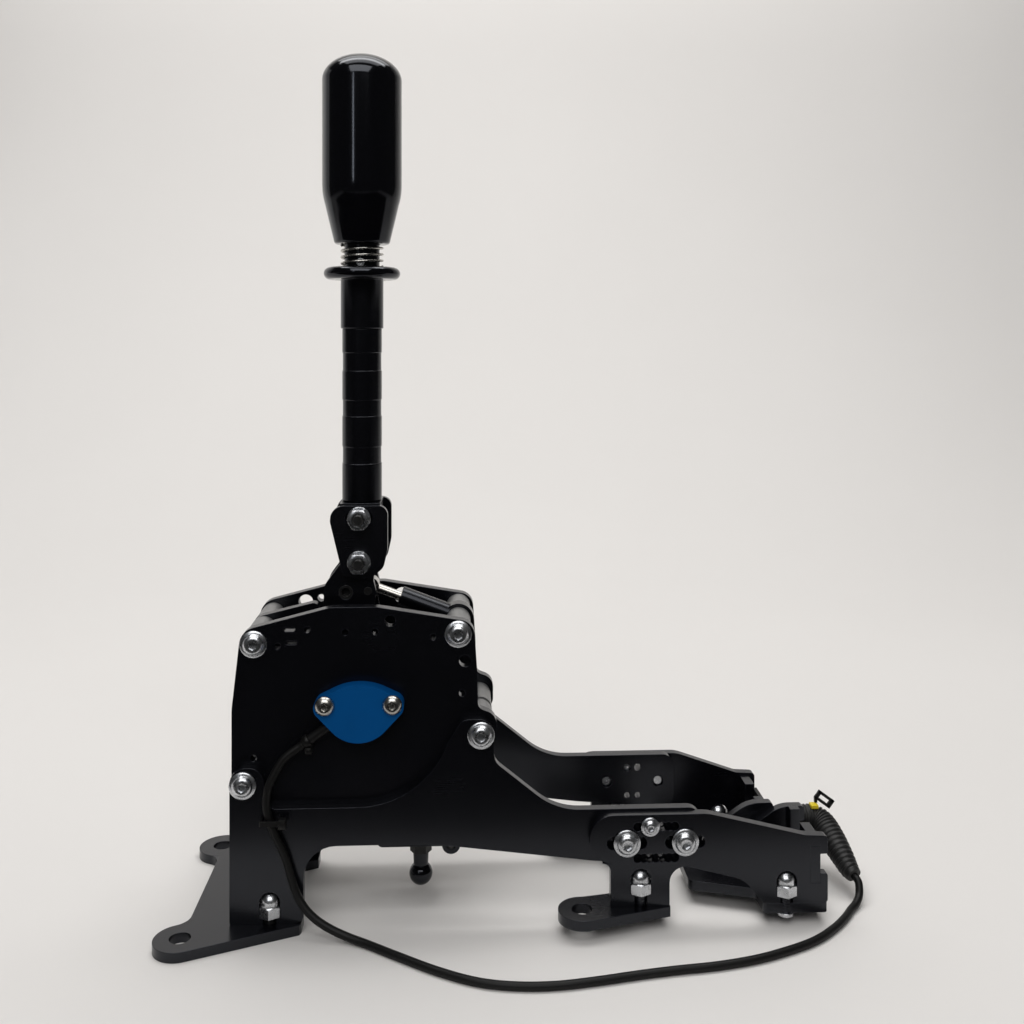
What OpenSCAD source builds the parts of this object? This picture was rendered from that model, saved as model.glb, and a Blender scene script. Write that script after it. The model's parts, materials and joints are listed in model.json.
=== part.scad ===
// Sequential gear shifter for a driving rig: a lever on a plate-built box,
// standing on a front foot and two rear brackets. Millimetres, Z up, +X to the rear.

/* [Plates] */
// thickness of arms, brackets, ribs and feet
plate_t = 5; // [3:0.5:8]
// thickness of the two box side plates
side_t = 6; // [4:0.5:10]
// clear width inside the box
box_w = 54; // [50:1:70]
// thickness of the plate in the middle of the box
inner_t = 6; // [3:0.5:8]
// clearance round fasteners and tenons
fit_gap = 0.2; // [0.1:0.05:0.4]
// radial running fit of turning and sliding pairs
run_gap = 0.05; // [0.02:0.01:0.1]
// side gap between moving plates
side_gap = 0.3; // [0.2:0.05:0.6]

/* [Feet] */
// diameter of the mounting holes in the foot ears
ear_hole = 10.5; // [6:0.5:12]
// half the spacing of the front ear holes
front_ear_y = 49; // [46:0.5:56]
// radius of the front ears
front_ear_r = 13; // [10:0.5:16]
// half the spacing of the middle ear holes
mid_ear_y = 43.5; // [40:0.5:48]
// radius of the middle ears
mid_ear_r = 12; // [9:0.5:15]
// height of the rubber feet that the rear plates stand on
pad_h = 6.5; // [4:0.5:8]

/* [Lever] */
// height of the lever pivot above the floor
pivot_z = 110; // [109:0.25:111]
// diameter of the pivot axle
axle_d = 10; // [8:0.5:12]
// thickness of rocker and clevis plates
rocker_t = 4; // [3:0.25:5]
// clear width between the two rocker plates
rocker_w = 20; // [18:0.5:22]
// diameter of the handle tube
tube_d = 21; // [20:0.25:24]
// diameter of the tube under the lift sleeve
guide_d = 19; // [17:0.25:19.5]
// diameter of the stem inside the knob
stem_d = 18.6; // [16:0.2:18.8]
// depth of the three tube grooves
groove = 0.3; // [0.2:0.1:1.2]

/* [Knob and collar] */
// knob diameter
knob_d = 42.2; // [38:0.2:48]
// knob length
knob_l = 101; // [80:1:120]
// diameter of the lift collar
collar_d = 40.5; // [32:0.5:46]
// thickness of the lift collar
collar_t = 6.4; // [5:0.2:9]
// outside diameter of the lift sleeve
sleeve_d = 22.6; // [22:0.1:26]
// free space between collar and knob
spring_l = 12.5; // [12:0.1:16]
// spring wire diameter
wire_d = 1.3; // [0.8:0.1:1.6]
// mean diameter of the spring coil
coil_d = 21.6; // [21:0.1:24]

/* [Cord] */
// diameter of the sensor cord
cord_d = 4; // [3:0.25:4.5]
// diameter of the sleeve on the cord
cord_sleeve_d = 5; // [4.6:0.1:5.2]

/* [Hidden] */

// stations across the width
y_in = box_w / 2;
y_box = y_in + side_t;
y_arm = y_box + plate_t;
y_brk = y_arm + plate_t;
y_rock = rocker_w / 2;
y_rock_o = y_rock + rocker_t;
y_clev = y_rock_o + rocker_t;

// stations along the length
x_end = 167.25;
x_end_far = x_end - 15.5;
x_front_ear = front_ear_r - x_end;
front_edge = x_front_ear + 0.75;
ear_fillet = 9;
x_mid_ear = 42.5;
pivot_x = -69.5;
hx = pivot_x - 1;
x_adj = -39.2;

// corner bolts of the box
bolt_tl = [-121.85, 142.9];
bolt_tr = [-19.25, 146.7];
bolt_br = [-7.75, 97];
bolt_bl = [-126.25, 74];
box_bolt_d = 6;
post_d = 13;

// nut seats
front_nut_x = -113;
mid_nut_x = 72.2;
rear_nut_x = 146.3;
rear_nut_x_far = rear_nut_x - 15.5;
y_nut_front = y_box + plate_t / 2;
y_nut_rear = y_arm + plate_t / 2;
foot_z = plate_t;
rear_z = pad_h + plate_t;
ledge_front = 3;
ledge_mid = 6.3;
ledge_rear = 3.5;
bolt_head_t = 2.4;
pad_d = 10;
nut_af = 10;

// tabs of the end plates
tab_z = 21.3;
tab_h = 18.7;

// bracket bolts
brk_bolt_x = [65.2, 94.6];
brk_bolt_z = 43.5;
index_x = 76.9;
index_pitch = 3.1;
index_z = 51.5;

// lever heights
z_low = 180.5;
z_up = z_low + 22.7;
z_tube = z_up + 7;
groove_up = [19.8, 44.8, 68.8];
groove_l = [9, 8.8, 9.8];
z_sleeve = z_tube + 91.3;
z_collar = z_sleeve + 26.1;
z_spring = z_collar + collar_t;
z_knob = z_spring + spring_l;
z_guide = z_spring - 4;
link_pin = [pivot_x - 8.2, z_low - 16.5];
strut_pin = [pivot_x + 3.2, z_low - 15.9];
tail_pin = [pivot_x + 31, pivot_z - 15];
link_d = 7.4;
strut_pin_d = 4.2;
tail_d = 8;
lever_bolt_d = 6;

// strut from the rear top post to the rocker
strut_v = strut_pin - bolt_tr;
strut_len = norm(strut_v);
strut_a = atan2(strut_v[1], strut_v[0]);

// adjuster under the box
ball_z = 10.6;
jam_z = 22.4;
block_z = 28;
lug = [-23, 28.5];

// stop inside the box
stop_xz = [-97.55, 137];
stop_r = 5.4;

// badge lens
badge_c = [pivot_x + 0.8, pivot_z + 4];
badge_t = 1.8;
housing_t = 6.6;
badge_screw_x = 16.7;

// cord sleeve line, and cord points from the sleeve to the boot
y_cord = -(y_box + 3.6);
sleeve_a = [-81.3, y_cord, 104.5];
sleeve_b = [-96.8, y_cord, 93.5];
sleeve_u = (sleeve_b - sleeve_a) / norm(sleeve_b - sleeve_a);
cord_pts = [sleeve_b + 2 * sleeve_u, [-101.9, -37.1, 90.2], [-106.2, -37.9, 86.8], [-109.5, -39, 81.8],
    [-112.7, -40.4, 75.4], [-114.1, -40.6, 68.3], [-113.9, -40.6, 62.8], [-112.4, -40.6, 57],
    [-109.2, -40.6, 48.9], [-105.5, -40.6, 40.9], [-103.2, -40.7, 34], [-101.2, -41.2, 27.1],
    [-98.8, -42.2, 21.3], [-96, -43.4, 17], [-92.2, -44.8, 13], [-87, -46.3, 9.4], [-80.4, -47.8, 6.2],
    [-72.3, -49.8, 3.5], [-62.4, -54.3, 2.2], [-47.6, -64.8, 2.05], [-28.5, -77.9, 2.05],
    [-10, -87.4, 2.05], [8, -91.4, 2.05], [26, -91.7, 2.05], [45, -89, 2.05], [64, -85.3, 2.05],
    [83, -82.2, 2.05], [103, -79.6, 2.05], [124, -74.6, 2.05], [145, -66.1, 2.05], [158, -58.6, 2.05],
    [169, -49.2, 2.05], [177, -40.6, 2.05], [182.6, -33.2, 2.1], [187, -28.6, 2.9], [190.2, -24.4, 5.2]];
boot_pts = [[173.4, 16.75, 28], [176.2, 16.3, 27.8], [178.6, 14.7, 27], [180.2, 12.2, 25.8],
    [181.3, 9.2, 24.3], [183, 4.2, 21.9], [184.8, -1.2, 19.3], [186.8, -7, 16.5], [188.7, -12.5, 13.87]];
boot_end = [190.2, -16.9, 11.75];
boot_u = unit2(boot_end - boot_pts[len(boot_pts) - 1]);
socket_y = 16.75;
socket_z = 28;
plug_x = 156;
plug_end = 171.4;
flange_end = 172.6;
tab_x = 176.8;
tab_up = 34.5;
tab_size = [4.2, 5.2, 2.1];

// tie that holds the cord to the near arm
tie_x = -112;
tie_w = 10.6;
tie_band = 1.2;
tie_z = 55.7;
tie_h = 2.6;
tie_out = -(y_arm + cord_d + 0.75);

// corner rounding: each corner is [x, y, radius]
function unit2(v) = v / norm(v);
function turn(a) = a > 180 ? a - 360 : (a < -180 ? a + 360 : a);
function corner(a, b, c, n) =
    b[2] == 0 ? [[b[0], b[1]]] :
    let (p = [b[0], b[1]], u = unit2([a[0], a[1]] - p), v = unit2([c[0], c[1]] - p),
        h = acos(max(-1, min(1, u * v))) / 2)
    h > 89.5 ? [p] :
    let (t = b[2] / tan(h), q = p + unit2(u + v) * (b[2] / sin(h)), s = p + u * t, e = p + v * t,
        a0 = atan2(s[1] - q[1], s[0] - q[0]), da = turn(atan2(e[1] - q[1], e[0] - q[0]) - a0))
    [for (k = [0:n]) q + b[2] * [cos(a0 + da * k / n), sin(a0 + da * k / n)]];
function rnd(P, n = 8) = [for (i = [0:len(P) - 1])
    each corner(P[(i + len(P) - 1) % len(P)], P[i], P[(i + 1) % len(P)], n)];
function arc(c, r, a0, a1, n) = [for (k = [0:n])
    [c[0] + r * cos(a0 + (a1 - a0) * k / n), c[1] + r * sin(a0 + (a1 - a0) * k / n), 0]];
// point where the outer tangent from p touches the circle at c, on the -Y side
function tang(c, r, p) = let (d = p - c, g = atan2(d[1], d[0]) + asin(r / norm(d)))
    c + r * [sin(g), -cos(g)];

// tubes along a list of points
function smooth(P, k) = [for (i = [0:len(P) - 2]) let (a = P[max(i - 1, 0)], b = P[i], c = P[i + 1],
    d = P[min(i + 2, len(P) - 1)]) for (j = [0:k - 1]) let (t = j / k)
    0.5 * (2 * b + (c - a) * t + (2 * a - 5 * b + 4 * c - d) * t * t + (3 * b - a - 3 * c + d) * t * t * t),
    P[len(P) - 1]];
function tangent(C, i) = let (v = C[min(i + 1, len(C) - 1)] - C[max(i - 1, 0)]) v / norm(v);
function slide_n(n, t) = let (v = n - (n * t) * t) v / norm(v);
function frames(C, n0) = [for (i = 0, n = slide_n(n0, tangent(C, 0)); i < len(C);
    i = i + 1, n = slide_n(n, tangent(C, min(i, len(C) - 1)))) n];
module tube(C, R, sides, N) {
    m = len(C);
    pts = [for (i = [0:m - 1]) let (b = cross(tangent(C, i), N[i])) for (j = [0:sides - 1])
        C[i] + R[i] * (cos(360 * j / sides) * N[i] + sin(360 * j / sides) * b)];
    skin = [for (i = [0:m - 2]) for (j = [0:sides - 1]) let (a = i * sides + j,
        b = i * sides + (j + 1) % sides) each [[a, a + sides, b], [b, a + sides, b + sides]]];
    caps = [for (j = [1:sides - 2]) each [[0, j, j + 1],
        [(m - 1) * sides, (m - 1) * sides + j + 1, (m - 1) * sides + j]]];
    polyhedron(points = pts, faces = concat(skin, caps));
}

// placing helpers
module sheet(y0, y1) {
    translate([0, y1, 0])
        rotate([90, 0, 0])
            linear_extrude(y1 - y0)
                children();
}
module ycyl(p, y0, y1, d) {
    translate([p[0], y1, p[1]])
        rotate([90, 0, 0])
            cylinder(d = d, h = y1 - y0, $fn = 64);
}
module xcyl(x0, x1, y, z, d) {
    translate([x0, y, z])
        rotate([0, 90, 0])
            cylinder(d = d, h = x1 - x0, $fn = 64);
}
module zcyl(x, y, z0, z1, d) {
    translate([x, y, z0])
        cylinder(d = d, h = z1 - z0, $fn = 64);
}
module rod(p, q, d) {
    v = q - p;
    translate(p)
        rotate([0, acos(v[2] / norm(v)), atan2(v[1], v[0])])
            cylinder(d = d, h = norm(v), $fn = 48);
}
module hole(p, d) {
    translate(p)
        circle(d = d, $fn = 64);
}
module slot(p, l, w) {
    translate(p) {
        square([l - w, w], center = true);
        translate([(w - l) / 2, 0])
            circle(d = w, $fn = 48);
        translate([(l - w) / 2, 0])
            circle(d = w, $fn = 48);
    }
}

// fasteners, head or nut face on z = 0 growing to +z
module button_head() {
    difference() {
        rotate_extrude($fn = 64)
            polygon([[0, 0], [6.8, 0], [6.8, 1], [5.4, 1.4], [4.9, 2.6], [3.8, 3.4], [0, 3.6]]);
        translate([0, 0, 1.6])
            cylinder(d = 4.6, h = 4, $fn = 6);
    }
}
module small_head() {
    difference() {
        rotate_extrude($fn = 48)
            polygon([[0, 0], [4.7, 0], [4.7, 0.8], [3.7, 1.1], [3.2, 2], [2.2, 2.5], [0, 2.6]]);
        translate([0, 0, 1.1])
            cylinder(d = 2.9, h = 3, $fn = 6);
    }
}
module dome_head() {
    difference() {
        rotate_extrude($fn = 64)
            polygon([[0, 0], [5, 0], [5, 0.5], [4.5, 1.6], [3.6, 2.4], [2.3, 2.95], [0, 3.1]]);
        translate([0, 0, 1.3])
            cylinder(d = 3.4, h = 3, $fn = 6);
    }
}
module washer_nut(shank) {
    difference() {
        union() {
            cylinder(d = 12, h = 1.6, $fn = 64);
            translate([0, 0, 1.6])
                cylinder(d = nut_af / cos(30), h = 5, $fn = 6);
        }
        translate([0, 0, -1])
            cylinder(d = shank, h = 12, $fn = 64);
    }
}
module acorn_nut() {
    difference() {
        union() {
            cylinder(d = nut_af / cos(30), h = 5.5, $fn = 6);
            translate([0, 0, 5.5])
                cylinder(d = 9.5, h = 1.75, $fn = 64);
            translate([0, 0, 7.25])
                intersection() {
                    sphere(d = 9.5, $fn = 64);
                    cylinder(d = 20, h = 10);
                }
        }
        translate([0, 0, -1])
            cylinder(d = box_bolt_d, h = 9, $fn = 64);
    }
}
module near_face(p, y) {
    translate([p[0], y, p[1]])
        rotate([90, 0, 0])
            children();
}
module far_face(p, y) {
    translate([p[0], y, p[1]])
        rotate([-90, 0, 0])
            children();
}
// opening in a leg for a domed nut, with a bolt slot in the ledge under it
module nut_window(x, z, step) {
    w = nut_af + 2 * fit_gap;
    translate([x - box_bolt_d / 2 - fit_gap, z - 1])
        square([box_bolt_d + 2 * fit_gap, step + 2]);
    translate([x - w / 2, z + step])
        square([w, 7.4]);
    translate([x, z + step + 7.4])
        circle(d = w, $fn = 64);
}

// outlines
module arm_outline() {
    difference() {
        polygon(rnd(concat([[-132.75, foot_z, 1], [-96.25, foot_z, 4], [-96.25, 43, 16], [-32.75, 43, 20],
            [47.25, 33, 30], [104, 28, 7], [104, 58.7, 7], [30, 58.7, 35], [-1.25, 83.7, 8],
            [-1.25, 105, 7.5], [-17.25, 105, 6]],
            arc([pivot_x, 110], 48, -20, -90, 18),
            [[-115.75, 62, 6], [-115.75, 82.5, 7.5], [-132.75, 82.5, 7.5]])));
        hole(bolt_br, box_bolt_d + 2 * fit_gap);
        hole(bolt_bl, box_bolt_d + 2 * fit_gap);
        for (x = brk_bolt_x)
            hole([x, brk_bolt_z], box_bolt_d);
        for (x = [index_x, index_x + 6])
            hole([x, index_z], 4);
        for (x = [index_x, index_x + 6])
            hole([x, 35.8], 3.3);
        nut_window(front_nut_x, foot_z, ledge_front);
        for (k = [0, 1])
            translate([tie_x - tie_w / 2 - 0.1 + k * (tie_w - tie_band), tie_z - 0.3])
                square([tie_band + 0.2, tie_h + 0.6]);
    }
}
module side_outline() {
    polygon(rnd(concat([[-132.75, 63, 3], [-117, 58.5, 3]],
        arc([pivot_x, 110], 52.5, -90, -28, 16),
        [[0.25, 88.5, 7], [0.25, 105.5, 7], [-9.2, 109, 4], [-9.6, 127.6, 20], [-11.3, 152.6, 8],
        [-60.5, 160.8, 10], [-83.5, 160.8, 12], [-128.3, 149.5, 9], [-132.75, 110, 30]])));
}
module bracket_outline(dx) {
    e = x_end - dx;
    difference() {
        polygon(rnd([[57, rear_z, 1], [86.7, rear_z, 1.5], [86.7, 33.5, 8], [124.5 - dx * 0.8, 23.8, 14],
            [134.5 - dx, rear_z, 2], [e, rear_z, 1.5], [e, 26, 1], [e - 3.75, 26, 0.5],
            [e - 3.75, 36, 0.5], [e, 36, 1], [e, 45, 2], [155.5 - dx * 0.95, 45.6, 8], [106, 57.5, 20],
            [46.6, 57.5, 11.8], [46.6, 33.5, 11], [57, 33.5, 4]]));
        for (x = brk_bolt_x)
            slot([x, brk_bolt_z], 20.3, 6.6);
        for (z = [index_z, 35.8]) {
            slot([index_x + index_pitch, z], 23, 3.6);
            for (k = [-3:3])
                hole([index_x + index_pitch * (k + 1), z], 4.5);
        }
        nut_window(mid_nut_x, rear_z, ledge_mid);
        nut_window(rear_nut_x - dx, rear_z, ledge_rear);
        translate([e - 8.75 - fit_gap / 2, tab_z - fit_gap / 2])
            square([plate_t + fit_gap, tab_h + fit_gap]);
    }
}
module rib_outline(dx) {
    e = x_end - dx;
    polygon(rnd([[128 - dx, rear_z, 1], [e, rear_z, 1.5], [e, 26, 1], [e - 3.75, 26, 0.5],
        [e - 3.75, 36, 0.5], [e, 36, 1], [e, 44, 2], [154 - dx, 44, 20], [130 - dx, 28, 14]]));
}
module rocker_outline() {
    p = [pivot_x, pivot_z];
    difference() {
        union() {
            hole(p, 28);
            polygon(rnd([for (c = [[-13.5, pivot_z - 2, 0], [13.5, pivot_z - 2, 0], [12.2, pivot_z + 15, 0],
                [6.4, z_low - 23.5, 8], [7.6, z_low - 16.5, 5], [6, z_low - 10, 6], [8, z_low, 5],
                [8, z_low + 9, 8], [-10, z_low + 9, 8], [-10, z_low, 4], [-19.6, z_low - 13, 9],
                [-19.7, z_low - 22.5, 12], [-15, pivot_z + 8, 0]])
                [c[0] + pivot_x, c[1], c[2]]]));
            polygon([p + [0, -13.5], tail_pin + [0, -7], tail_pin + [2, 6.7], p + [11, 8]]);
            hole(tail_pin, 14);
        }
        hole(p, axle_d);
        hole(link_pin, link_d);
        hole(strut_pin, strut_pin_d);
        hole(tail_pin, tail_d);
        hole([hx, z_low], lever_bolt_d);
    }
}
module clevis_outline() {
    difference() {
        polygon(rnd([for (c = [[5.3, z_low - 8.4, 4], [11.6, z_low - 3, 6], [13.7, z_low + 6.5, 10],
            [13.7, z_tube - 0.6, 5], [-16, z_tube - 0.6, 7], [-16, z_tube - 9, 4], [-9.3, z_low - 7, 3]])
            [c[0] + pivot_x, c[1], c[2]]]));
        hole([hx, z_low], lever_bolt_d);
        slot([hx, z_up], lever_bolt_d + 8.2, lever_bolt_d + 1);
    }
}
module lens() {
    translate(badge_c)
        polygon(rnd([[-26, 0.5, 5.5], [0, -27, 18], [26, 0.5, 5.5], [0, 13, 30]], 14));
}

// feet
module front_foot() {
    c = [x_front_ear, -front_ear_y];
    q = tang(c, front_ear_r, [-98, -y_arm - 2]);
    f = [front_edge - ear_fillet, -front_ear_y + sqrt(pow(front_ear_r + ear_fillet, 2)
        - pow(front_edge - ear_fillet - x_front_ear, 2))];
    web = concat(arc(f, ear_fillet, 0, atan2(c[1] - f[1], c[0] - f[0]), 8), [[c[0], c[1], 0], [-140, c[1], 0],
        [-140, f[1], 0]]);
    color([0.07, 0.07, 0.08])
        difference() {
            linear_extrude(plate_t)
                difference() {
                    union() {
                        hole(c, 2 * front_ear_r);
                        hole([c[0], -c[1]], 2 * front_ear_r);
                        polygon([[front_edge, c[1]], q, [-98, -y_arm - 2], [-97.25, -y_arm], [-97.25, y_arm],
                            [-98, y_arm + 2], [q[0], -q[1]], [front_edge, -c[1]]]);
                        for (s = [1, -1])
                            polygon([for (p = web) [p[0], s * p[1]]]);
                    }
                    polygon(rnd([[-108, -24, 6], [-90, -33, 0], [-90, 33, 0], [-108, 24, 6]]));
                    hole(c, ear_hole);
                    hole([c[0], -c[1]], ear_hole);
                }
            for (s = [-1, 1]) {
                zcyl(front_nut_x, s * y_nut_front, -1, plate_t + 1, box_bolt_d);
                translate([front_nut_x, s * y_nut_front, 0])
                    cylinder(r1 = 6, r2 = box_bolt_d / 2, h = 3, $fn = 64);
            }
        }
}
module mid_foot() {
    c = [x_mid_ear, -mid_ear_y];
    q = tang(c, mid_ear_r, [87, -y_brk - 0.5]);
    back = mid_ear_y - mid_ear_r;
    color([0.07, 0.07, 0.08])
        translate([0, 0, pad_h])
            linear_extrude(plate_t)
                difference() {
                    union() {
                        hole(c, 2 * mid_ear_r);
                        hole([c[0], -c[1]], 2 * mid_ear_r);
                        polygon([[c[0], c[1]], q, [87, -y_brk - 0.5], [87, y_brk + 0.5], [q[0], -q[1]],
                            [c[0], -c[1]]]);
                    }
                    polygon(rnd([[30, -back, 0], [44, -back, 6], [60, 3 - back, 6], [66, -20, 5],
                        [66, 20, 5], [60, back - 3, 6], [44, back, 6], [30, back, 0]]));
                    for (s = [-1, 1]) {
                        hole([c[0], s * c[1]], ear_hole);
                        hole([mid_nut_x, s * y_nut_rear], box_bolt_d);
                    }
                }
}
module rear_plate() {
    color([0.07, 0.07, 0.08])
        translate([0, 0, pad_h])
            linear_extrude(plate_t)
                difference() {
                    polygon(rnd([[101.75, -17.5, 4], [134.5, -28, 4], [134.5, -y_brk, 2],
                        [x_end, -y_brk, 2], [x_end, 2, 6], [x_end_far, 12, 6], [x_end_far, y_brk, 2],
                        [119, y_brk, 2], [119, 29, 8], [113, 17, 8], [101.75, 12, 5]]));
                    hole([rear_nut_x, -y_nut_rear], box_bolt_d);
                    hole([rear_nut_x_far, y_nut_rear], box_bolt_d);
                }
}

// frame and box
module arm_near() {
    color([0.06, 0.06, 0.07])
        sheet(-y_arm, -y_box)
            arm_outline();
}
module arm_far() {
    color([0.06, 0.06, 0.07])
        sheet(y_box, y_arm)
            arm_outline();
}
module side_holes() {
    for (p = [bolt_tl, bolt_tr, bolt_br, bolt_bl])
        hole(p, box_bolt_d + 2 * fit_gap);
    hole([pivot_x, pivot_z], axle_d + 4);
}
module side_plate_near() {
    color([0.05, 0.05, 0.055])
        sheet(-y_box, -y_in)
            difference() {
                side_outline();
                side_holes();
                for (s = [-1, 1])
                    hole([badge_c[0] + s * badge_screw_x, badge_c[1]], 4);
                for (p = [[-95, 149.8], [-109.9, 141.6], [-76.1, 148.3], [-61.1, 148.3], [-31.9, 145.3],
                    [-17.3, 116.7], [-121.8, 85.7]])
                    hole(p, 3.3);
                hole([-53.6, 153.7], 5.6);
                hole([-15.8, 133], 6);
                slot([-104, 150], 6, 2.2);
                slot([-103, 143.4], 6, 2.2);
            }
}
module side_plate_far() {
    color([0.05, 0.05, 0.055])
        sheet(y_in, y_box)
            difference() {
                side_outline();
                side_holes();
                hole([-104, 149.6], 8);
                hole([-95.5, 151.7], 4);
                hole([-50.5, 152.6], 9);
                hole([-30.3, 146.2], 4);
            }
}
module inner_plate() {
    color([0.09, 0.09, 0.1])
        sheet(-inner_t / 2, inner_t / 2)
            difference() {
                polygon(rnd([[-132, 66, 5], [-118, 60, 6], [-76, 56, 10], [-62, 40, 6], [-46.5, 40, 3],
                    [-46.5, 80, 6], [-52.5, 98, 6], [-52.5, 126, 10], [-87, 126, 4], [-91, 150, 4],
                    [-94.5, 156.5, 3], [-127.6, 148.5, 8], [-131.6, 110, 30]]));
                hole([pivot_x, pivot_z], axle_d + 12);
                hole(bolt_tl, box_bolt_d + 2 * fit_gap);
                hole(bolt_bl, box_bolt_d + 2 * fit_gap);
                hole(stop_xz, box_bolt_d);
                hole([-112, 120], 9);
            }
}
module post(p, y0, y1) {
    difference() {
        ycyl(p, y0, y1, post_d);
        ycyl(p, y0 - 1, y1 + 1, box_bolt_d + 2 * fit_gap);
    }
}
module standoffs() {
    color([0.06, 0.06, 0.065]) {
        for (p = [bolt_tl, bolt_bl]) {
            post(p, -y_in, -inner_t / 2);
            post(p, inner_t / 2, y_in);
        }
        post(bolt_tr, -y_in, y_in);
        difference() {
            post(bolt_br, -y_in, y_in);
            difference() {
                ycyl(bolt_br, -2, 2, post_d + 2);
                ycyl(bolt_br, -3, 3, post_d - 2.4);
            }
        }
    }
}
module box_bolts() {
    color([0.75, 0.75, 0.76]) {
        for (p = [bolt_tl, bolt_tr]) {
            near_face(p, -y_box)
                button_head();
            ycyl(p, -y_box, y_box + 8, box_bolt_d);
        }
        for (p = [bolt_br, bolt_bl]) {
            near_face(p, -y_arm)
                button_head();
            ycyl(p, -y_arm, y_arm + 8, box_bolt_d);
        }
    }
}
module box_nuts() {
    color([0.75, 0.75, 0.76]) {
        for (p = [bolt_tl, bolt_tr])
            far_face(p, y_box)
                washer_nut(box_bolt_d);
        for (p = [bolt_br, bolt_bl])
            far_face(p, y_arm)
                washer_nut(box_bolt_d);
    }
}
module bushes() {
    p = [pivot_x, pivot_z];
    color([0.6, 0.45, 0.25])
        for (m = [0, 1])
            mirror([0, m, 0])
                difference() {
                    union() {
                        ycyl(p, -y_box, -y_in, axle_d + 4);
                        ycyl(p, -y_in, -y_in + 2, axle_d + 8);
                    }
                    ycyl(p, -y_box - 1, -y_in + 3, axle_d + 2 * run_gap);
                }
}

// sensor and badge
module sensor_housing() {
    color([0.0, 0.16, 0.42])
        difference() {
            sheet(-y_box - housing_t, -y_box)
                lens();
            translate([pivot_x - 11, -y_box - housing_t + 1.4, pivot_z - 8])
                cube([22, housing_t, 16]);
            rod(sleeve_a, sleeve_b, cord_sleeve_d);
            rod(sleeve_a, sleeve_a + [8, 0, 1], cord_sleeve_d - 1);
            for (s = [-1, 1])
                ycyl([badge_c[0] + s * badge_screw_x, badge_c[1]], -y_box - 20, 0, 4);
        }
}
module badge() {
    color([0.0, 0.16, 0.42])
        sheet(-y_box - housing_t - badge_t, -y_box - housing_t)
            difference() {
                lens();
                for (s = [-1, 1])
                    hole([badge_c[0] + s * badge_screw_x, badge_c[1]], 4);
            }
}
module badge_screws() {
    color([0.7, 0.68, 0.64])
        for (s = [-1, 1]) {
            near_face([badge_c[0] + s * badge_screw_x, badge_c[1]], -y_box - housing_t - badge_t)
                dome_head();
            ycyl([badge_c[0] + s * badge_screw_x, badge_c[1]], -y_box - housing_t - badge_t, -y_in - 1, 4);
        }
}
module sensor_board() {
    color([0.05, 0.3, 0.15])
        translate([pivot_x - 10, -y_box - 1.6, pivot_z - 7])
            cube([20, 1.6, 14]);
    color([0.1, 0.1, 0.1])
        translate([pivot_x - 3, -y_box - 2.9, pivot_z - 3])
            cube([6, 1.3, 6]);
}

// travel stops
module stop_pin() {
    color([0.7, 0.7, 0.72])
        ycyl(stop_xz, -17.5, 17.5, box_bolt_d);
}
module buffers() {
    color([0.03, 0.03, 0.03]) {
        for (m = [0, 1])
            mirror([0, m, 0])
                difference() {
                    ycyl(stop_xz, -16.5, -inner_t / 2, 2 * stop_r);
                    ycyl(stop_xz, -17, 0, box_bolt_d);
                }
        for (p = [[75, -20], [75, 20], [rear_nut_x + 4, -21], [rear_nut_x_far + 4, 21]])
            zcyl(p[0], p[1], 0, pad_h, pad_d);
    }
}
module stop_block() {
    color([0.08, 0.08, 0.09])
        difference() {
            union() {
                sheet(-8, 8)
                    polygon(rnd([[-62, block_z, 3], [-18.2, block_z, 0], [-18.2, 40, 3], [-62, 40, 2]]));
                ycyl(lug, -8, 8, 9.6);
            }
            zcyl(x_adj, 0, 0, 60, box_bolt_d + 2 * run_gap);
            ycyl(lug, -9, 9, 5);
        }
}
module adj_stem() {
    color([0.55, 0.55, 0.57]) {
        zcyl(x_adj, 0, 12, 80, box_bolt_d);
        difference() {
            translate([x_adj, 0, jam_z])
                cylinder(d = nut_af / cos(30), h = 5, $fn = 6);
            zcyl(x_adj, 0, 15, 30, box_bolt_d - 1);
        }
    }
}
module adj_knob() {
    color([0.04, 0.04, 0.045])
        difference() {
            union() {
                translate([x_adj, 0, ball_z])
                    sphere(d = 12.4, $fn = 64);
                translate([x_adj, 0, ball_z + 3])
                    cylinder(d1 = 7.6, d2 = 8.4, h = jam_z - ball_z - 3, $fn = 64);
            }
            zcyl(x_adj, 0, 12, 30, box_bolt_d);
        }
}
module adj_tip() {
    color([0.03, 0.03, 0.03])
        zcyl(x_adj, 0, 80, 86, 10);
}

// rear brackets
module bracket_near() {
    color([0.06, 0.06, 0.07])
        sheet(-y_brk, -y_arm)
            bracket_outline(0);
}
module bracket_far() {
    color([0.06, 0.06, 0.07])
        sheet(y_arm, y_brk)
            bracket_outline(15.5);
}
module bracket_bolts() {
    color([0.75, 0.75, 0.76])
        for (x = brk_bolt_x)
            for (m = [0, 1])
                mirror([0, m, 0]) {
                    near_face([x, brk_bolt_z], -y_brk)
                        button_head();
                    ycyl([x, brk_bolt_z], -y_brk, -y_box + 1.5, box_bolt_d);
                }
}
module index_screws() {
    color([0.75, 0.75, 0.76])
        for (m = [0, 1])
            mirror([0, m, 0]) {
                near_face([index_x, index_z], -y_brk)
                    small_head();
                ycyl([index_x, index_z], -y_brk, -y_box + 1, 4);
            }
}
module rib_near() {
    color([0.07, 0.07, 0.08])
        sheet(-plate_t, 0)
            rib_outline(0);
}
module rib_far() {
    color([0.07, 0.07, 0.08])
        sheet(0, plate_t)
            rib_outline(x_end - x_end_far);
}
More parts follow.
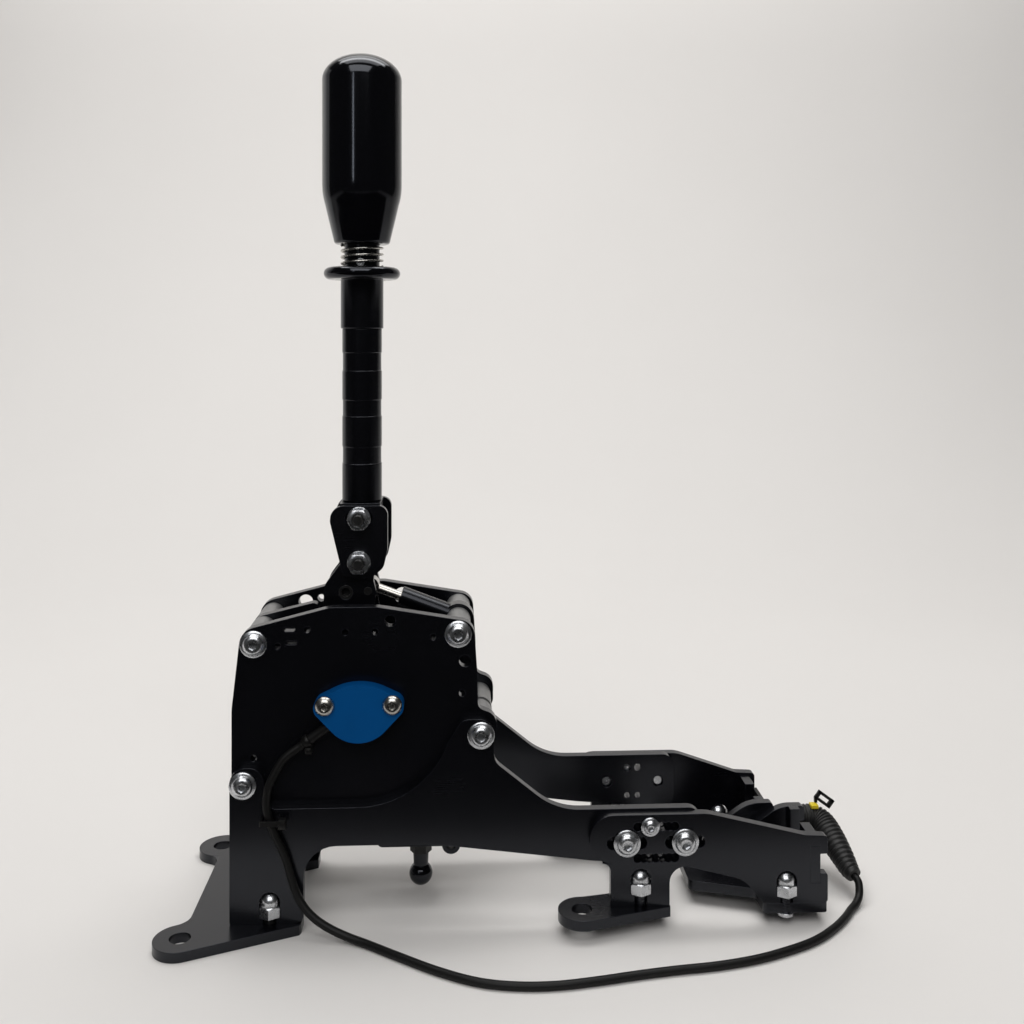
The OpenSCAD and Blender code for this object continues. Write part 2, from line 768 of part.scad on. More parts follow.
// end plate lying across the bracket, y counted from the middle outward
module end_outline(dip0, dip1) {
    difference() {
        union() {
            translate([plate_t, rear_z])
                square([y_arm - plate_t, 44 - rear_z]);
            translate([y_arm - 1, tab_z])
                square([plate_t + 1, tab_h]);
        }
        polygon(rnd([[dip0, 60, 0], [dip0, 20, 3], [dip1, 20, 3], [dip1, 60, 0]]));
    }
}
module end_plate_near() {
    color([0.08, 0.08, 0.09])
        translate([x_end - 8.75, 0, 0])
            mirror([0, 1, 0])
                rotate([90, 0, 90])
                    linear_extrude(plate_t)
                        end_outline(9, 25);
}
module end_plate_far() {
    color([0.08, 0.08, 0.09])
        translate([x_end_far - 8.75, 0, 0])
            rotate([90, 0, 90])
                linear_extrude(plate_t)
                    end_outline(8.5, 25);
}

// bolts and domed nuts of the feet
module front_bolts() {
    color([0.75, 0.75, 0.76])
        for (s = [-1, 1]) {
            zcyl(front_nut_x, s * y_nut_front, 0, foot_z + ledge_front + 7.5, box_bolt_d);
            translate([front_nut_x, s * y_nut_front, 0])
                cylinder(r1 = 6, r2 = box_bolt_d / 2, h = 3, $fn = 64);
        }
}
module cap_bolt(x, y, step) {
    difference() {
        zcyl(x, y, pad_h - bolt_head_t, pad_h, 10);
        translate([x, y, pad_h - bolt_head_t - 1])
            cylinder(d = 4.62, h = 2.4, $fn = 6);
    }
    zcyl(x, y, pad_h, rear_z + step + 7.5, box_bolt_d);
}
module rear_bolts() {
    color([0.75, 0.75, 0.76]) {
        for (s = [-1, 1])
            cap_bolt(mid_nut_x, s * y_nut_rear, ledge_mid);
        cap_bolt(rear_nut_x, -y_nut_rear, ledge_rear);
        cap_bolt(rear_nut_x_far, y_nut_rear, ledge_rear);
    }
}
module foot_nuts() {
    color([0.78, 0.78, 0.79]) {
        for (s = [-1, 1]) {
            translate([front_nut_x, s * y_nut_front, foot_z + ledge_front])
                rotate([0, 0, 30])
                    acorn_nut();
            translate([mid_nut_x, s * y_nut_rear, rear_z + ledge_mid])
                rotate([0, 0, 30])
                    acorn_nut();
        }
        translate([rear_nut_x, -y_nut_rear, rear_z + ledge_rear])
            rotate([0, 0, 30])
                acorn_nut();
        translate([rear_nut_x_far, y_nut_rear, rear_z + ledge_rear])
            rotate([0, 0, 30])
                acorn_nut();
    }
}

// cord, plug and ties
module socket() {
    x = x_end_far - 3.75;
    color([0.1, 0.1, 0.11])
        difference() {
            union() {
                translate([x, 5.8, 15])
                    cube([2, 21.7, 26]);
                xcyl(x - 10, plug_x, socket_y, socket_z, 13);
            }
            xcyl(plug_x - 6, plug_x + 1, socket_y, socket_z, 8);
        }
}
module plug() {
    color([0.04, 0.04, 0.045])
        difference() {
            union() {
                xcyl(plug_x, plug_end, socket_y, socket_z, 12.4);
                xcyl(plug_end, flange_end, socket_y, socket_z, 13);
                xcyl(plug_x - 5.5, plug_x, socket_y, socket_z, 8);
            }
            for (k = [0:3])
                difference() {
                    xcyl(plug_x + 4 + 3 * k, plug_x + 5.2 + 3 * k, socket_y, socket_z, 14);
                    xcyl(plug_x, plug_end, socket_y, socket_z, 11.2);
                }
        }
}
module plug_tab() {
    color([0.85, 0.7, 0.05])
        translate([tab_x, socket_y - 4.5, tab_up])
            cube(tab_size);
}
module plug_tag() {
    top = tab_up + tab_size[2];
    color([0.04, 0.04, 0.045]) {
        translate([tab_x + 3, socket_y - 1, top])
            cube([1.6, 2, 1.6]);
        translate([tab_x + 9.2, socket_y - 1, top - 0.2])
            rotate([0, 36, 0])
                difference() {
                    translate([-5.3, 0, -2.6])
                        cube([10.6, 2, 5.2]);
                    translate([-3.4, -1, -1.1])
                        cube([6.4, 4, 2.2]);
                }
    }
}
module boot() {
    C = concat([[flange_end, socket_y, socket_z]], smooth(boot_pts, 4), [boot_end]);
    m = len(C);
    R = [for (i = [0:m - 1]) let (t = i / (m - 1)) 6 + 1.2 * t - 3.4 * t * t + (i % 2 == 0 ? 0.3 : -0.25)];
    color([0.04, 0.04, 0.045])
        tube(C, R, 12, frames(C, [0, 0, 1]));
}
module cord() {
    run = concat(cord_pts, [boot_end + 4 * boot_u + [0, -0.2, -0.5], boot_end + boot_u]);
    C = concat([sleeve_b, sleeve_b + sleeve_u], smooth(run, 2), [boot_end]);
    color([0.04, 0.04, 0.045])
        tube(C, [for (c = C) cord_d / 2], 10, frames(C, [0, -1, 0]));
}
module cord_sleeve() {
    color([0.05, 0.05, 0.05])
        rod(sleeve_a, sleeve_b, cord_sleeve_d);
}
module cable_ties() {
    color([0.04, 0.04, 0.045]) {
        difference() {
            union() {
                rod(sleeve_b - 4.2 * sleeve_u, sleeve_b - 1.4 * sleeve_u, cord_sleeve_d + 1.6);
                translate(sleeve_b - 2.8 * sleeve_u + [1.4, -2.2, -5.2])
                    cube([3.6, 3.6, 4], center = true);
            }
            rod(sleeve_a, sleeve_b, cord_sleeve_d);
        }
        translate([0, 0, tie_z])
            linear_extrude(tie_h)
                difference() {
                    translate([tie_x - tie_w / 2, tie_out - tie_band])
                        square([tie_w, tie_band * 2 - tie_out - y_box]);
                    translate([tie_x - tie_w / 2 + tie_band, tie_out])
                        square([tie_w - 2 * tie_band, -tie_out - y_box]);
                }
        translate([tie_x + tie_w / 2 - tie_band, tie_out - 2.6, tie_z - 1.1])
            cube([4, 4.4, tie_h + 2.2]);
    }
}

// lever
module axle() {
    color([0.7, 0.7, 0.72])
        ycyl([pivot_x, pivot_z], -y_box + 1.5, y_box - 0.5, axle_d);
}
module magnet() {
    color([0.5, 0.5, 0.52])
        ycyl([pivot_x, pivot_z], -y_box + 0.4, -y_box + 1.5, 6);
}
module hub_spacers() {
    p = [pivot_x, pivot_z];
    color([0.6, 0.6, 0.62]) {
        difference() {
            ycyl(p, -y_rock, y_rock, axle_d + 8);
            ycyl(p, -y_rock - 1, y_rock + 1, axle_d);
        }
        for (m = [0, 1])
            mirror([0, m, 0])
                difference() {
                    ycyl(p, y_rock_o, y_in - 2 - side_gap, axle_d + 6);
                    ycyl(p, y_rock, y_in, axle_d);
                }
    }
}
module rocker_near() {
    color([0.07, 0.07, 0.08])
        sheet(-y_rock_o, -y_rock)
            rocker_outline();
}
module rocker_far() {
    color([0.07, 0.07, 0.08])
        sheet(y_rock, y_rock_o)
            rocker_outline();
}
module clevis_near() {
    color([0.06, 0.06, 0.07])
        sheet(-y_clev, -y_rock_o)
            clevis_outline();
}
module clevis_far() {
    color([0.06, 0.06, 0.07])
        sheet(y_rock_o, y_clev)
            clevis_outline();
}
module rocker_pins() {
    color([0.6, 0.6, 0.62]) {
        difference() {
            ycyl(link_pin, -y_rock_o, y_rock_o, link_d);
            ycyl(link_pin, -y_rock_o - 1, y_rock_o + 1, link_d - 2.6);
        }
        ycyl(link_pin, -y_rock, y_rock, link_d - 2);
        ycyl(strut_pin, -y_rock_o - 0.4, y_rock_o + 0.4, strut_pin_d);
        ycyl(tail_pin, -y_rock_o, y_rock_o, tail_d);
    }
}
module lever_bolt(z, lift) {
    ycyl([hx, z], -y_clev - 8, y_clev + lift, lever_bolt_d);
    far_face([hx, z], y_clev + lift)
        button_head();
}
module clevis_bolt() {
    color([0.08, 0.08, 0.09])
        lever_bolt(z_low, 0);
}
module clevis_nut() {
    color([0.75, 0.75, 0.76])
        near_face([hx, z_low], -y_clev)
            washer_nut(lever_bolt_d);
}
module clamp_bolt() {
    color([0.08, 0.08, 0.09])
        lever_bolt(z_up, 0.1);
}
module clamp_nut() {
    color([0.75, 0.75, 0.76])
        near_face([hx, z_up], -y_clev - 0.1)
            washer_nut(lever_bolt_d);
}
module handle_foot() {
    color([0.08, 0.08, 0.09])
        difference() {
            union() {
                ycyl([hx, z_low], -y_rock + side_gap, y_rock - side_gap, 16);
                translate([hx - 8, -y_rock + side_gap, z_low])
                    cube([16, 2 * (y_rock - side_gap), 14]);
                translate([hx - tube_d / 2, -y_rock_o + side_gap, z_low + 12])
                    cube([tube_d, 2 * (y_rock_o - side_gap), z_tube - z_low - 12]);
            }
            ycyl([hx, z_low], -40, 40, lever_bolt_d + 2 * run_gap);
            ycyl([hx, z_up], -40, 40, lever_bolt_d);
        }
}
module handle_tube() {
    r = tube_d / 2;
    g = tube_d / 2 - groove;
    color([0.05, 0.05, 0.055])
        translate([hx, 0, 0])
            rotate_extrude($fn = 96)
                polygon([[0, z_tube], [r, z_tube],
                    for (k = [0:2]) let (a = z_tube + groove_up[k], b = a + groove_l[k])
                        each [[r, a], [g, a + 0.4], [g, b - 0.4], [r, b]],
                    [r, z_sleeve - 0.05], [guide_d / 2, z_sleeve - 0.05], [guide_d / 2, z_guide],
                    [stem_d / 2, z_guide], [stem_d / 2, z_knob + 46], [0, z_knob + 46]]);
}
module knob() {
    r = knob_d / 2;
    t = z_knob + knob_l;
    neck = r - 6.2;
    dome = 14;
    color([0.03, 0.03, 0.033])
        translate([hx, 0, 0])
            difference() {
                rotate_extrude($fn = 96)
                    polygon(concat([[0, z_knob], [neck - 1.4, z_knob], [neck - 0.4, z_knob + 0.5],
                        [neck, z_knob + 1.5], [r - 1.8, z_knob + 20], [r - 0.9, z_knob + 23.5],
                        [r - 0.35, z_knob + 26.5], [r - 0.08, z_knob + 29.5], [r, z_knob + 33],
                        [r, t - dome]],
                        [for (k = [1:12]) [r * cos(7.5 * k), t - dome + dome * sin(7.5 * k)]]));
                translate([0, 0, z_knob - 1])
                    cylinder(d = stem_d, h = 47, $fn = 64);
            }
}
module collar() {
    b = guide_d / 2 + run_gap;
    c = collar_d / 2 - collar_t / 2;
    s = sleeve_d / 2;
    m = z_collar + collar_t / 2;
    color([0.04, 0.04, 0.045])
        translate([hx, 0, 0])
            rotate_extrude($fn = 96)
                polygon(concat([[b, z_sleeve], [s, z_sleeve], [s, z_collar]],
                    [for (k = [-6:6]) [c + collar_t / 2 * cos(15 * k), m + collar_t / 2 * sin(15 * k)]],
                    [[b, z_spring]]));
}
module spring() {
    turns = 3.5;
    lead = wire_d + 0.2;
    steps = round(turns * 8);
    rise = spring_l - 2 * lead;
    R = coil_d / 2;
    function on(a, z) = [R * cos(a), R * sin(a), z];
    C = concat([on(0, 0), on(0, wire_d)],
        [for (k = [0:steps]) on(360 * turns * (k + 0.6) / (steps + 1.2), lead + rise * k / steps)],
        [on(360 * turns, spring_l - wire_d), on(360 * turns, spring_l)]);
    N = [for (c = C) [c[0], c[1], 0] / R];
    apart = [for (i = [0:len(C) - 5]) for (j = [i + 4:len(C) - 1]) norm(C[i] - C[j])];
    echo(spring_least_gap = min(apart) - wire_d);
    color([0.75, 0.75, 0.77])
        translate([hx, 0, z_spring])
            tube(C, [for (c = C) wire_d / 2], 6, N);
}

// strut between the rear top post and the rocker
module strut_frame() {
    translate([bolt_tr[0], 0, bolt_tr[1]])
        rotate([0, -strut_a, 0])
            children();
}
module strut_body() {
    color([0.05, 0.05, 0.055])
        strut_frame()
            difference() {
                union() {
                    rotate([90, 0, 0])
                        cylinder(d = post_d + 3.6, h = 8, center = true, $fn = 64);
                    rotate([0, 90, 0])
                        cylinder(d = 11, h = 33, $fn = 64);
                }
                rotate([90, 0, 0])
                    cylinder(d = post_d + 2 * run_gap, h = 20, center = true, $fn = 64);
                translate([12.5, 0, 0])
                    rotate([0, 90, 0])
                        cylinder(d = 5 + 2 * run_gap, h = 30, $fn = 48);
            }
}
module strut_rod() {
    color([0.75, 0.75, 0.77])
        strut_frame()
            difference() {
                union() {
                    translate([22.5, 0, 0])
                        rotate([0, 90, 0])
                            cylinder(d = 5, h = strut_len - 24, $fn = 48);
                    translate([strut_len, 0, 0])
                        rotate([90, 0, 0])
                            cylinder(d = 10, h = 8, center = true, $fn = 64);
                }
                translate([strut_len, 0, 0])
                    rotate([90, 0, 0])
                        cylinder(d = strut_pin_d + 0.8, h = 20, center = true, $fn = 48);
            }
}

front_foot();
arm_near();
arm_far();
side_plate_near();
side_plate_far();
inner_plate();
standoffs();
box_bolts();
box_nuts();
badge();
sensor_housing();
badge_screws();
sensor_board();
bushes();
stop_pin();
buffers();
stop_block();
front_bolts();
foot_nuts();
bracket_near();
bracket_far();
bracket_bolts();
index_screws();
mid_foot();
rear_plate();
rib_near();
rib_far();
end_plate_near();
end_plate_far();
rear_bolts();
socket();
cord();
cord_sleeve();
cable_ties();
plug();
plug_tab();
plug_tag();
boot();
axle();
magnet();
hub_spacers();
rocker_near();
rocker_far();
clevis_near();
clevis_far();
rocker_pins();
clevis_bolt();
clevis_nut();
handle_foot();
handle_tube();
clamp_bolt();
clamp_nut();
knob();
collar();
spring();
strut_body();
strut_rod();
adj_stem();
adj_knob();
adj_tip();
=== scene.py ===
# %% [markdown]
# # A sequential gear shifter, dressed in Blender
#
# The shifter arrives as a set of finished solids: plates, bolts, a lever, a knob.
# Their shapes and sizes are settled, so nothing here moves them. This lesson gives them
# a camera, light and finishes, and makes finer versions of the pieces that a solid modeller
# leaves plain: the cord, the spring, the turned handle, the nuts and the bolts.

# %% Load the frame
import json
from math import cos, pi, radians, sin, tan

import bmesh
import bpy
from mathutils import Matrix, Vector


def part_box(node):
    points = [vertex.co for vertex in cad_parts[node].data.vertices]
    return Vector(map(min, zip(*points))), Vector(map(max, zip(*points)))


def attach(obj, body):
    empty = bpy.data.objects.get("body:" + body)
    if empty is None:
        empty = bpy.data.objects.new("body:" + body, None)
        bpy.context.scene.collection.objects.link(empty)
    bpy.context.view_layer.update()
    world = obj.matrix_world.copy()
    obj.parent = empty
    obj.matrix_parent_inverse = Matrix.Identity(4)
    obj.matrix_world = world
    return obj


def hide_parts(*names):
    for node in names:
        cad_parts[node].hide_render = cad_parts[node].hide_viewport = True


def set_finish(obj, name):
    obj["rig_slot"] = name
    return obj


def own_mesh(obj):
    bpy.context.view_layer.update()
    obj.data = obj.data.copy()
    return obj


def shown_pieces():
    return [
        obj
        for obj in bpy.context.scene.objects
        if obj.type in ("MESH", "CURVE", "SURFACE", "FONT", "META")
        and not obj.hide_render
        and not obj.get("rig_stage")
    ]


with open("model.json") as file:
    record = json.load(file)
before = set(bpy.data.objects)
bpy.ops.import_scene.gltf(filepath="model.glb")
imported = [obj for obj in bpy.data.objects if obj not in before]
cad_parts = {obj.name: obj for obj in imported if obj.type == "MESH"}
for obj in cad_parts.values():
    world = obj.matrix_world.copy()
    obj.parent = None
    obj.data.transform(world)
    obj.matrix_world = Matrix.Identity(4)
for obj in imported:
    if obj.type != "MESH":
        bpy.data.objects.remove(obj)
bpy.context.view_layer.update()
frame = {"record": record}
scene = bpy.context.scene
mm = 0.001

# %% [markdown]
# ## Camera
#
# The picture was taken with the lens level, a little below the lift collar, so upright
# edges stay parallel. A level camera has to slide its picture down to hold the feet, as a
# view camera does: that is the lens shift. Tilting the camera would also bring the feet in,
# but then the knob would grow and the uprights would lean.

# %% Camera at the photograph's angle
picture_px = 1024
focal_px = 1100.9
horizon_px = 337.2
sensor_mm = 36
eye = Vector((-0.0189, -0.5908, 0.2969))
turn_right = radians(2.762)

camera_data = bpy.data.cameras.new("camera")
camera_data.sensor_width = sensor_mm
camera_data.lens = focal_px / picture_px * sensor_mm
camera_data.shift_y = (horizon_px - picture_px / 2) / picture_px
camera = bpy.data.objects.new("camera", camera_data)
camera.location = eye
camera.rotation_euler = (pi / 2, 0, -turn_right)
scene.collection.objects.link(camera)
scene.camera = camera
print("lens:", round(camera_data.lens, 2), "mm, shift:", round(camera_data.shift_y, 3))

# %% [markdown]
# ## Tools for small turned pieces
#
# Nearly all that follows is turned on a lathe or cut from hexagon bar. One helper joins rings
# of a given radius and height into a skin. A radius may also be a function of the angle, so the
# same helper makes a hexagon, and a nut's scalloped top is a height that depends on the angle.
# A screw modifier would turn a profile as well, but not the hexagons.

# %% Turning helper
def turned(bm, rings, base, axis, sides=48, spin=0.0):
    """Joins rings of (radius, height), in mm, round an axis that starts at base."""
    way = Vector(axis).normalized()
    up = Vector((0, 0, 1)) if abs(way.z) < 0.9 else Vector((1, 0, 0))
    side = (up - up.dot(way) * way).normalized()
    other = way.cross(side)
    loops = []
    for radius, height in rings:
        loop = []
        for k in range(1 if radius == 0 else sides):
            a = 2 * pi * k / sides
            r = radius(a) if callable(radius) else radius
            h = height(a) if callable(height) else height
            loop.append(bm.verts.new(mm * (Vector(base) + h * way
                                           + r * (cos(a + spin) * side + sin(a + spin) * other))))
        loops.append(loop)
    for low, high in zip(loops, loops[1:]):
        count = max(len(low), len(high))
        for k in range(count if count > 1 else 0):
            n = (k + 1) % count
            if len(low) == 1:
                bm.faces.new((low[0], high[n], high[k]))
            elif len(high) == 1:
                bm.faces.new((low[k], low[n], high[0]))
            else:
                bm.faces.new((low[k], low[n], high[n], high[k]))


def hexagon(flats):
    """Radius of a hexagon of that width across its flats, by angle."""
    return lambda a: flats / 2 / cos(a % (pi / 3) - pi / 6)


print("hexagon of 10 mm, corner to corner:", round(2 * hexagon(10)(0), 2), "mm")

# %% Sweeping helper
def swept(bm, line, radii, sides):
    """A tube of changing radius along a line, both in metres, with closed ends."""
    ways = [(line[min(i + 1, len(line) - 1)] - line[max(i - 1, 0)]).normalized() for i in range(len(line))]
    side = ways[0].orthogonal().normalized()
    loops = []
    for place, way, radius in zip(line, ways, radii):
        side = (side - side.dot(way) * way).normalized()
        other = way.cross(side)
        angles = [2 * pi * k / sides for k in range(sides)]
        loops.append([bm.verts.new(place + radius * (cos(a) * side + sin(a) * other)) for a in angles])
    for low, high in zip(loops, loops[1:]):
        for k in range(sides):
            n = (k + 1) % sides
            bm.faces.new((low[k], low[n], high[n], high[k]))
    bm.faces.new(list(reversed(loops[0])))
    bm.faces.new(loops[-1])


def block(bm, place, size, turn=Matrix(), round_off=0.35):
    """A box with eased edges, in mm, turned about its own middle."""
    made = bmesh.ops.create_cube(bm, size=1)["verts"]
    shape = Matrix.Translation(Vector(place) * mm) @ turn @ Matrix.Diagonal((*(Vector(size) * mm), 1))
    bmesh.ops.transform(bm, matrix=shape, verts=made)
    edges = list({edge for vert in made for edge in vert.link_edges})
    bmesh.ops.bevel(bm, geom=edges, offset=round_off * mm, segments=2, profile=0.5, affect="EDGES")


# %% Making a piece out of a drawing
def piece(name, body, finish_slot, stands_for, draw, crease=38):
    """Runs a drawing function on an empty mesh and hangs the result on its body."""
    bm = bmesh.new()
    draw(bm)
    bmesh.ops.remove_doubles(bm, verts=bm.verts, dist=1e-7)
    bmesh.ops.recalc_face_normals(bm, faces=bm.faces)
    mesh = bpy.data.meshes.new(name)
    bm.to_mesh(mesh)
    bm.free()
    mesh.shade_smooth()
    mesh.set_sharp_from_angle(angle=radians(crease))
    made = bpy.data.objects.new(name, mesh)
    scene.collection.objects.link(made)
    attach(made, body)
    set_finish(made, finish_slot)
    if stands_for:
        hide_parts(*stands_for)
    print(name, "has", len(mesh.polygons), "faces and rides on", body)
    return made


# %% [markdown]
# ## Cord
#
# The sensor cord is a soft round lead, 4 mm thick. It leaves a shrunk sleeve under the badge,
# drops down the near arm behind a tie, runs out along the floor and climbs into a ribbed boot
# at the rear. The route is a list of points that were read off the object. A curve that only
# passes near its points would drift off the ties, so the line used here goes through each one.

# %% Route of the cord
sleeve_start = Vector((-81.3, -36.6, 104.5))
sleeve_end = Vector((-96.8, -36.6, 93.5))
sleeve_way = (sleeve_end - sleeve_start).normalized()
boot_end = Vector((190.2, -16.9, 11.75))
boot_last = Vector((188.7, -12.5, 13.87))
boot_way = (boot_end - boot_last).normalized()
cord_stops = [sleeve_end + 2 * sleeve_way, (-101.9, -37.1, 90.2), (-106.2, -37.9, 86.8), (-109.5, -39, 81.8),
              (-112.7, -40.4, 75.4), (-114.1, -40.6, 68.3), (-113.9, -40.6, 62.8), (-112.4, -40.6, 57),
              (-109.2, -40.6, 48.9), (-105.5, -40.6, 40.9), (-103.2, -40.7, 34), (-101.2, -41.2, 27.1),
              (-98.8, -42.2, 21.3), (-96, -43.4, 17), (-92.2, -44.8, 13), (-87, -46.3, 9.4),
              (-80.4, -47.8, 6.2), (-72.3, -49.8, 3.5), (-62.4, -54.3, 2.2), (-47.6, -64.8, 2.05),
              (-28.5, -77.9, 2.05), (-10, -87.4, 2.05), (8, -91.4, 2.05), (26, -91.7, 2.05),
              (45, -89, 2.05), (64, -85.3, 2.05), (83, -82.2, 2.05), (103, -79.6, 2.05),
              (124, -74.6, 2.05), (145, -66.1, 2.05), (158, -58.6, 2.05), (169, -49.2, 2.05),
              (177, -40.6, 2.05), (182.6, -33.2, 2.1), (187, -28.6, 2.9), (190.2, -24.4, 5.2),
              boot_end + 4 * boot_way + Vector((0, -0.2, -0.5)), boot_end + boot_way]


def through(stops, steps):
    """A smooth line through every stop, by Catmull and Rom's rule, in metres."""
    stops = [Vector(stop) * mm for stop in stops]
    line = []
    for i in range(len(stops) - 1):
        a, b, c, d = (stops[min(max(i + k, 0), len(stops) - 1)] for k in (-1, 0, 1, 2))
        for j in range(steps):
            t = j / steps
            line.append(0.5 * (2 * b + (c - a) * t + (2 * a - 5 * b + 4 * c - d) * t ** 2
                               + (3 * b - a - 3 * c + d) * t ** 3))
    return line + [stops[-1]]


cord_line = [sleeve_end * mm, (sleeve_end + sleeve_way) * mm] + through(cord_stops, 6) + [boot_end * mm]
cord_length = sum((b - a).length for a, b in zip(cord_line, cord_line[1:]))
print("cord:", round(cord_length, 4), "m through", len(cord_stops), "stops")

# %% The cord as a tube along its route
cord_thick = 4 * mm
cord = piece("sensor_cord", "base", "rubber_black", ["cord"],
             lambda bm: swept(bm, cord_line, [cord_thick / 2] * len(cord_line), 20), crease=60)

# %% [markdown]
# ## Boot, plug and sleeve
#
# The lead ends in a moulded boot: a tapering tube with close ribs that lets it bend without
# kinking, held at its thin end by a small clamp with two bosses. Behind it sit the ridged
# plug and a yellow key that carries a little label frame. The ribs are a wave added to the
# boot's radius, many times finer than the solid that it stands for.

# %% Ribbed boot
boot_start = Vector((172.6, 16.75, 28))
boot_stops = [boot_start, (173.4, 16.75, 28), (177, 16.6, 27.9), (180.3, 15.2, 27.2), (182.6, 12.6, 26),
              (184, 9.2, 24.4), (185.4, 4.2, 22), (186.6, -1.2, 19.4), (187.8, -7, 16.5), boot_last, boot_end]
boot_line = through(boot_stops, 20)
rib_count, rib_depth, rib_steepness = 24, 0.34, 2.2


def draw_boot(bm):
    last = len(boot_line) - 1
    radii = []
    for i in range(len(boot_line)):
        t = i / last
        wave = sin(2 * pi * rib_count * t)
        rib = rib_depth * max(-1, min(1, rib_steepness * wave)) if 0.08 < t < 0.95 else 0.1
        radii.append((6.2 + 6.2 * t - 8.4 * t * t + rib) * mm)
    swept(bm, boot_line, radii, 36)


boot = piece("ribbed_boot", "base", "rubber_black", ["boot"], draw_boot, crease=70)

# %% Clamp at the thin end of the boot
clamp_side = boot_way.cross(Vector((0, 0, 1))).normalized()


def draw_clamp(bm):
    middle = boot_end - 2.2 * boot_way
    turned(bm, [(3.0, -1.8), (3.9, -1.8), (4.3, -1.4), (4.3, 1.4), (3.9, 1.8), (3.0, 1.8), (3.0, -1.8)],
           middle, boot_way, 32)
    for s in (-1, 1):
        boss = middle + s * 3.05 * clamp_side - 2.2 * boot_way
        turned(bm, [(0, 0), (0.8, 0), (1.15, 0.35), (1.15, 4.1), (0.8, 4.45), (0, 4.45)], boss, boot_way, 20)


boot_clamp = piece("boot_clamp", "base", "plastic_black", [], draw_clamp)

# %% Plug, key and label frame
low, high = (Vector(corner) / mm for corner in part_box("plug"))
plug_axis = Vector((low.x, (low.y + high.y) / 2, (low.z + high.z) / 2))
plug_long = high.x - low.x
spigot, flange = 5.5, 1.2
key_low, key_high = (Vector(corner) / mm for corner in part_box("plug_tab"))


def draw_plug(bm):
    rings = [(0, 0), (3.6, 0), (4, 0.4), (4, spigot), (5.8, spigot), (6.15, spigot + 0.4)]
    for k in range(5):
        start = spigot + 2.6 + 2.2 * k
        rings += [(6.15, start), (5.7, start + 0.35), (5.7, start + 0.95), (6.15, start + 1.3)]
    rings += [(6.15, plug_long - flange), (6.3, plug_long - flange), (6.48, plug_long - flange + 0.2),
              (6.48, plug_long - 0.2), (6.3, plug_long), (0, plug_long)]
    turned(bm, rings, plug_axis, (1, 0, 0), 48)


def draw_key(bm):
    block(bm, (key_low + key_high) / 2, key_high - key_low, round_off=0.45)


def draw_tag(bm):
    block(bm, (key_low.x + 3.8, plug_axis.y, key_high.z + 1.5), (1.6, 2, 3), round_off=0.2)
    lean = Matrix.Rotation(radians(36), 4, "Y")
    middle = Vector((key_low.x + 8.6, plug_axis.y, key_high.z + 1.6))
    for place, size in [((0, 0, -1.85), (10.6, 2, 1.5)), ((0, 0, 1.85), (10.6, 2, 1.5)),
                        ((-4.35, 0, 0), (1.9, 2, 5.2)), ((4.15, 0, 0), (2.3, 2, 5.2))]:
        block(bm, middle + lean @ Vector(place), size, lean, 0.25)


plug = piece("plug_body", "base", "plastic_black", ["plug"], draw_plug)
plug_key = piece("yellow_key", "base", "ring_yellow", ["plug_tab"], draw_key)
plug_tag = piece("label_frame", "base", "plastic_black", ["plug_tag"], draw_tag)

# %% Shrunk sleeve under the badge
def draw_sleeve(bm):
    long = (sleeve_end - sleeve_start).length
    rings = [(0, 0), (2.4, 0)]
    for k in range(25):
        t = k / 24
        rings.append((2.42 + 0.06 * sin(9 * t) - 0.14 * max(0, t - 0.82) / 0.18, 0.2 + (long - 0.4) * t))
    rings += [(2.0, long), (0, long)]
    turned(bm, rings, sleeve_start, sleeve_way, 32)


piece("shrunk_sleeve", "base", "rubber_black", ["cord_sleeve"], draw_sleeve)

# %% Say what the cord is
print("cord declared:", round(cord_length, 3), "m")

# %% [markdown]
# ## Cable ties
#
# One small tie grips the shrunk sleeve and one laces the cord to the near arm through two slots.
# A tie is a flat band, a square head and a short cut tail. The band round the arm is a rounded
# rectangle with a hole, drawn as two matching outlines, because a bevelled box could not be hollow.

# %% Ties
tie_middle, tie_half, tie_band = -112, 5.3, 1.2
tie_low, tie_high = 55.7, 58.3
tie_front = -42.75
arm_back = -33


def rounded(x0, y0, x1, y1, r, n=5):
    """Corners of a rectangle, each eased by a short arc."""
    corners = [(x1 - r, y1 - r, 0), (x0 + r, y1 - r, 90), (x0 + r, y0 + r, 180), (x1 - r, y0 + r, 270)]
    return [(x + r * cos(radians(a + 90 * k / n)), y + r * sin(radians(a + 90 * k / n)))
            for x, y, a in corners for k in range(n + 1)]


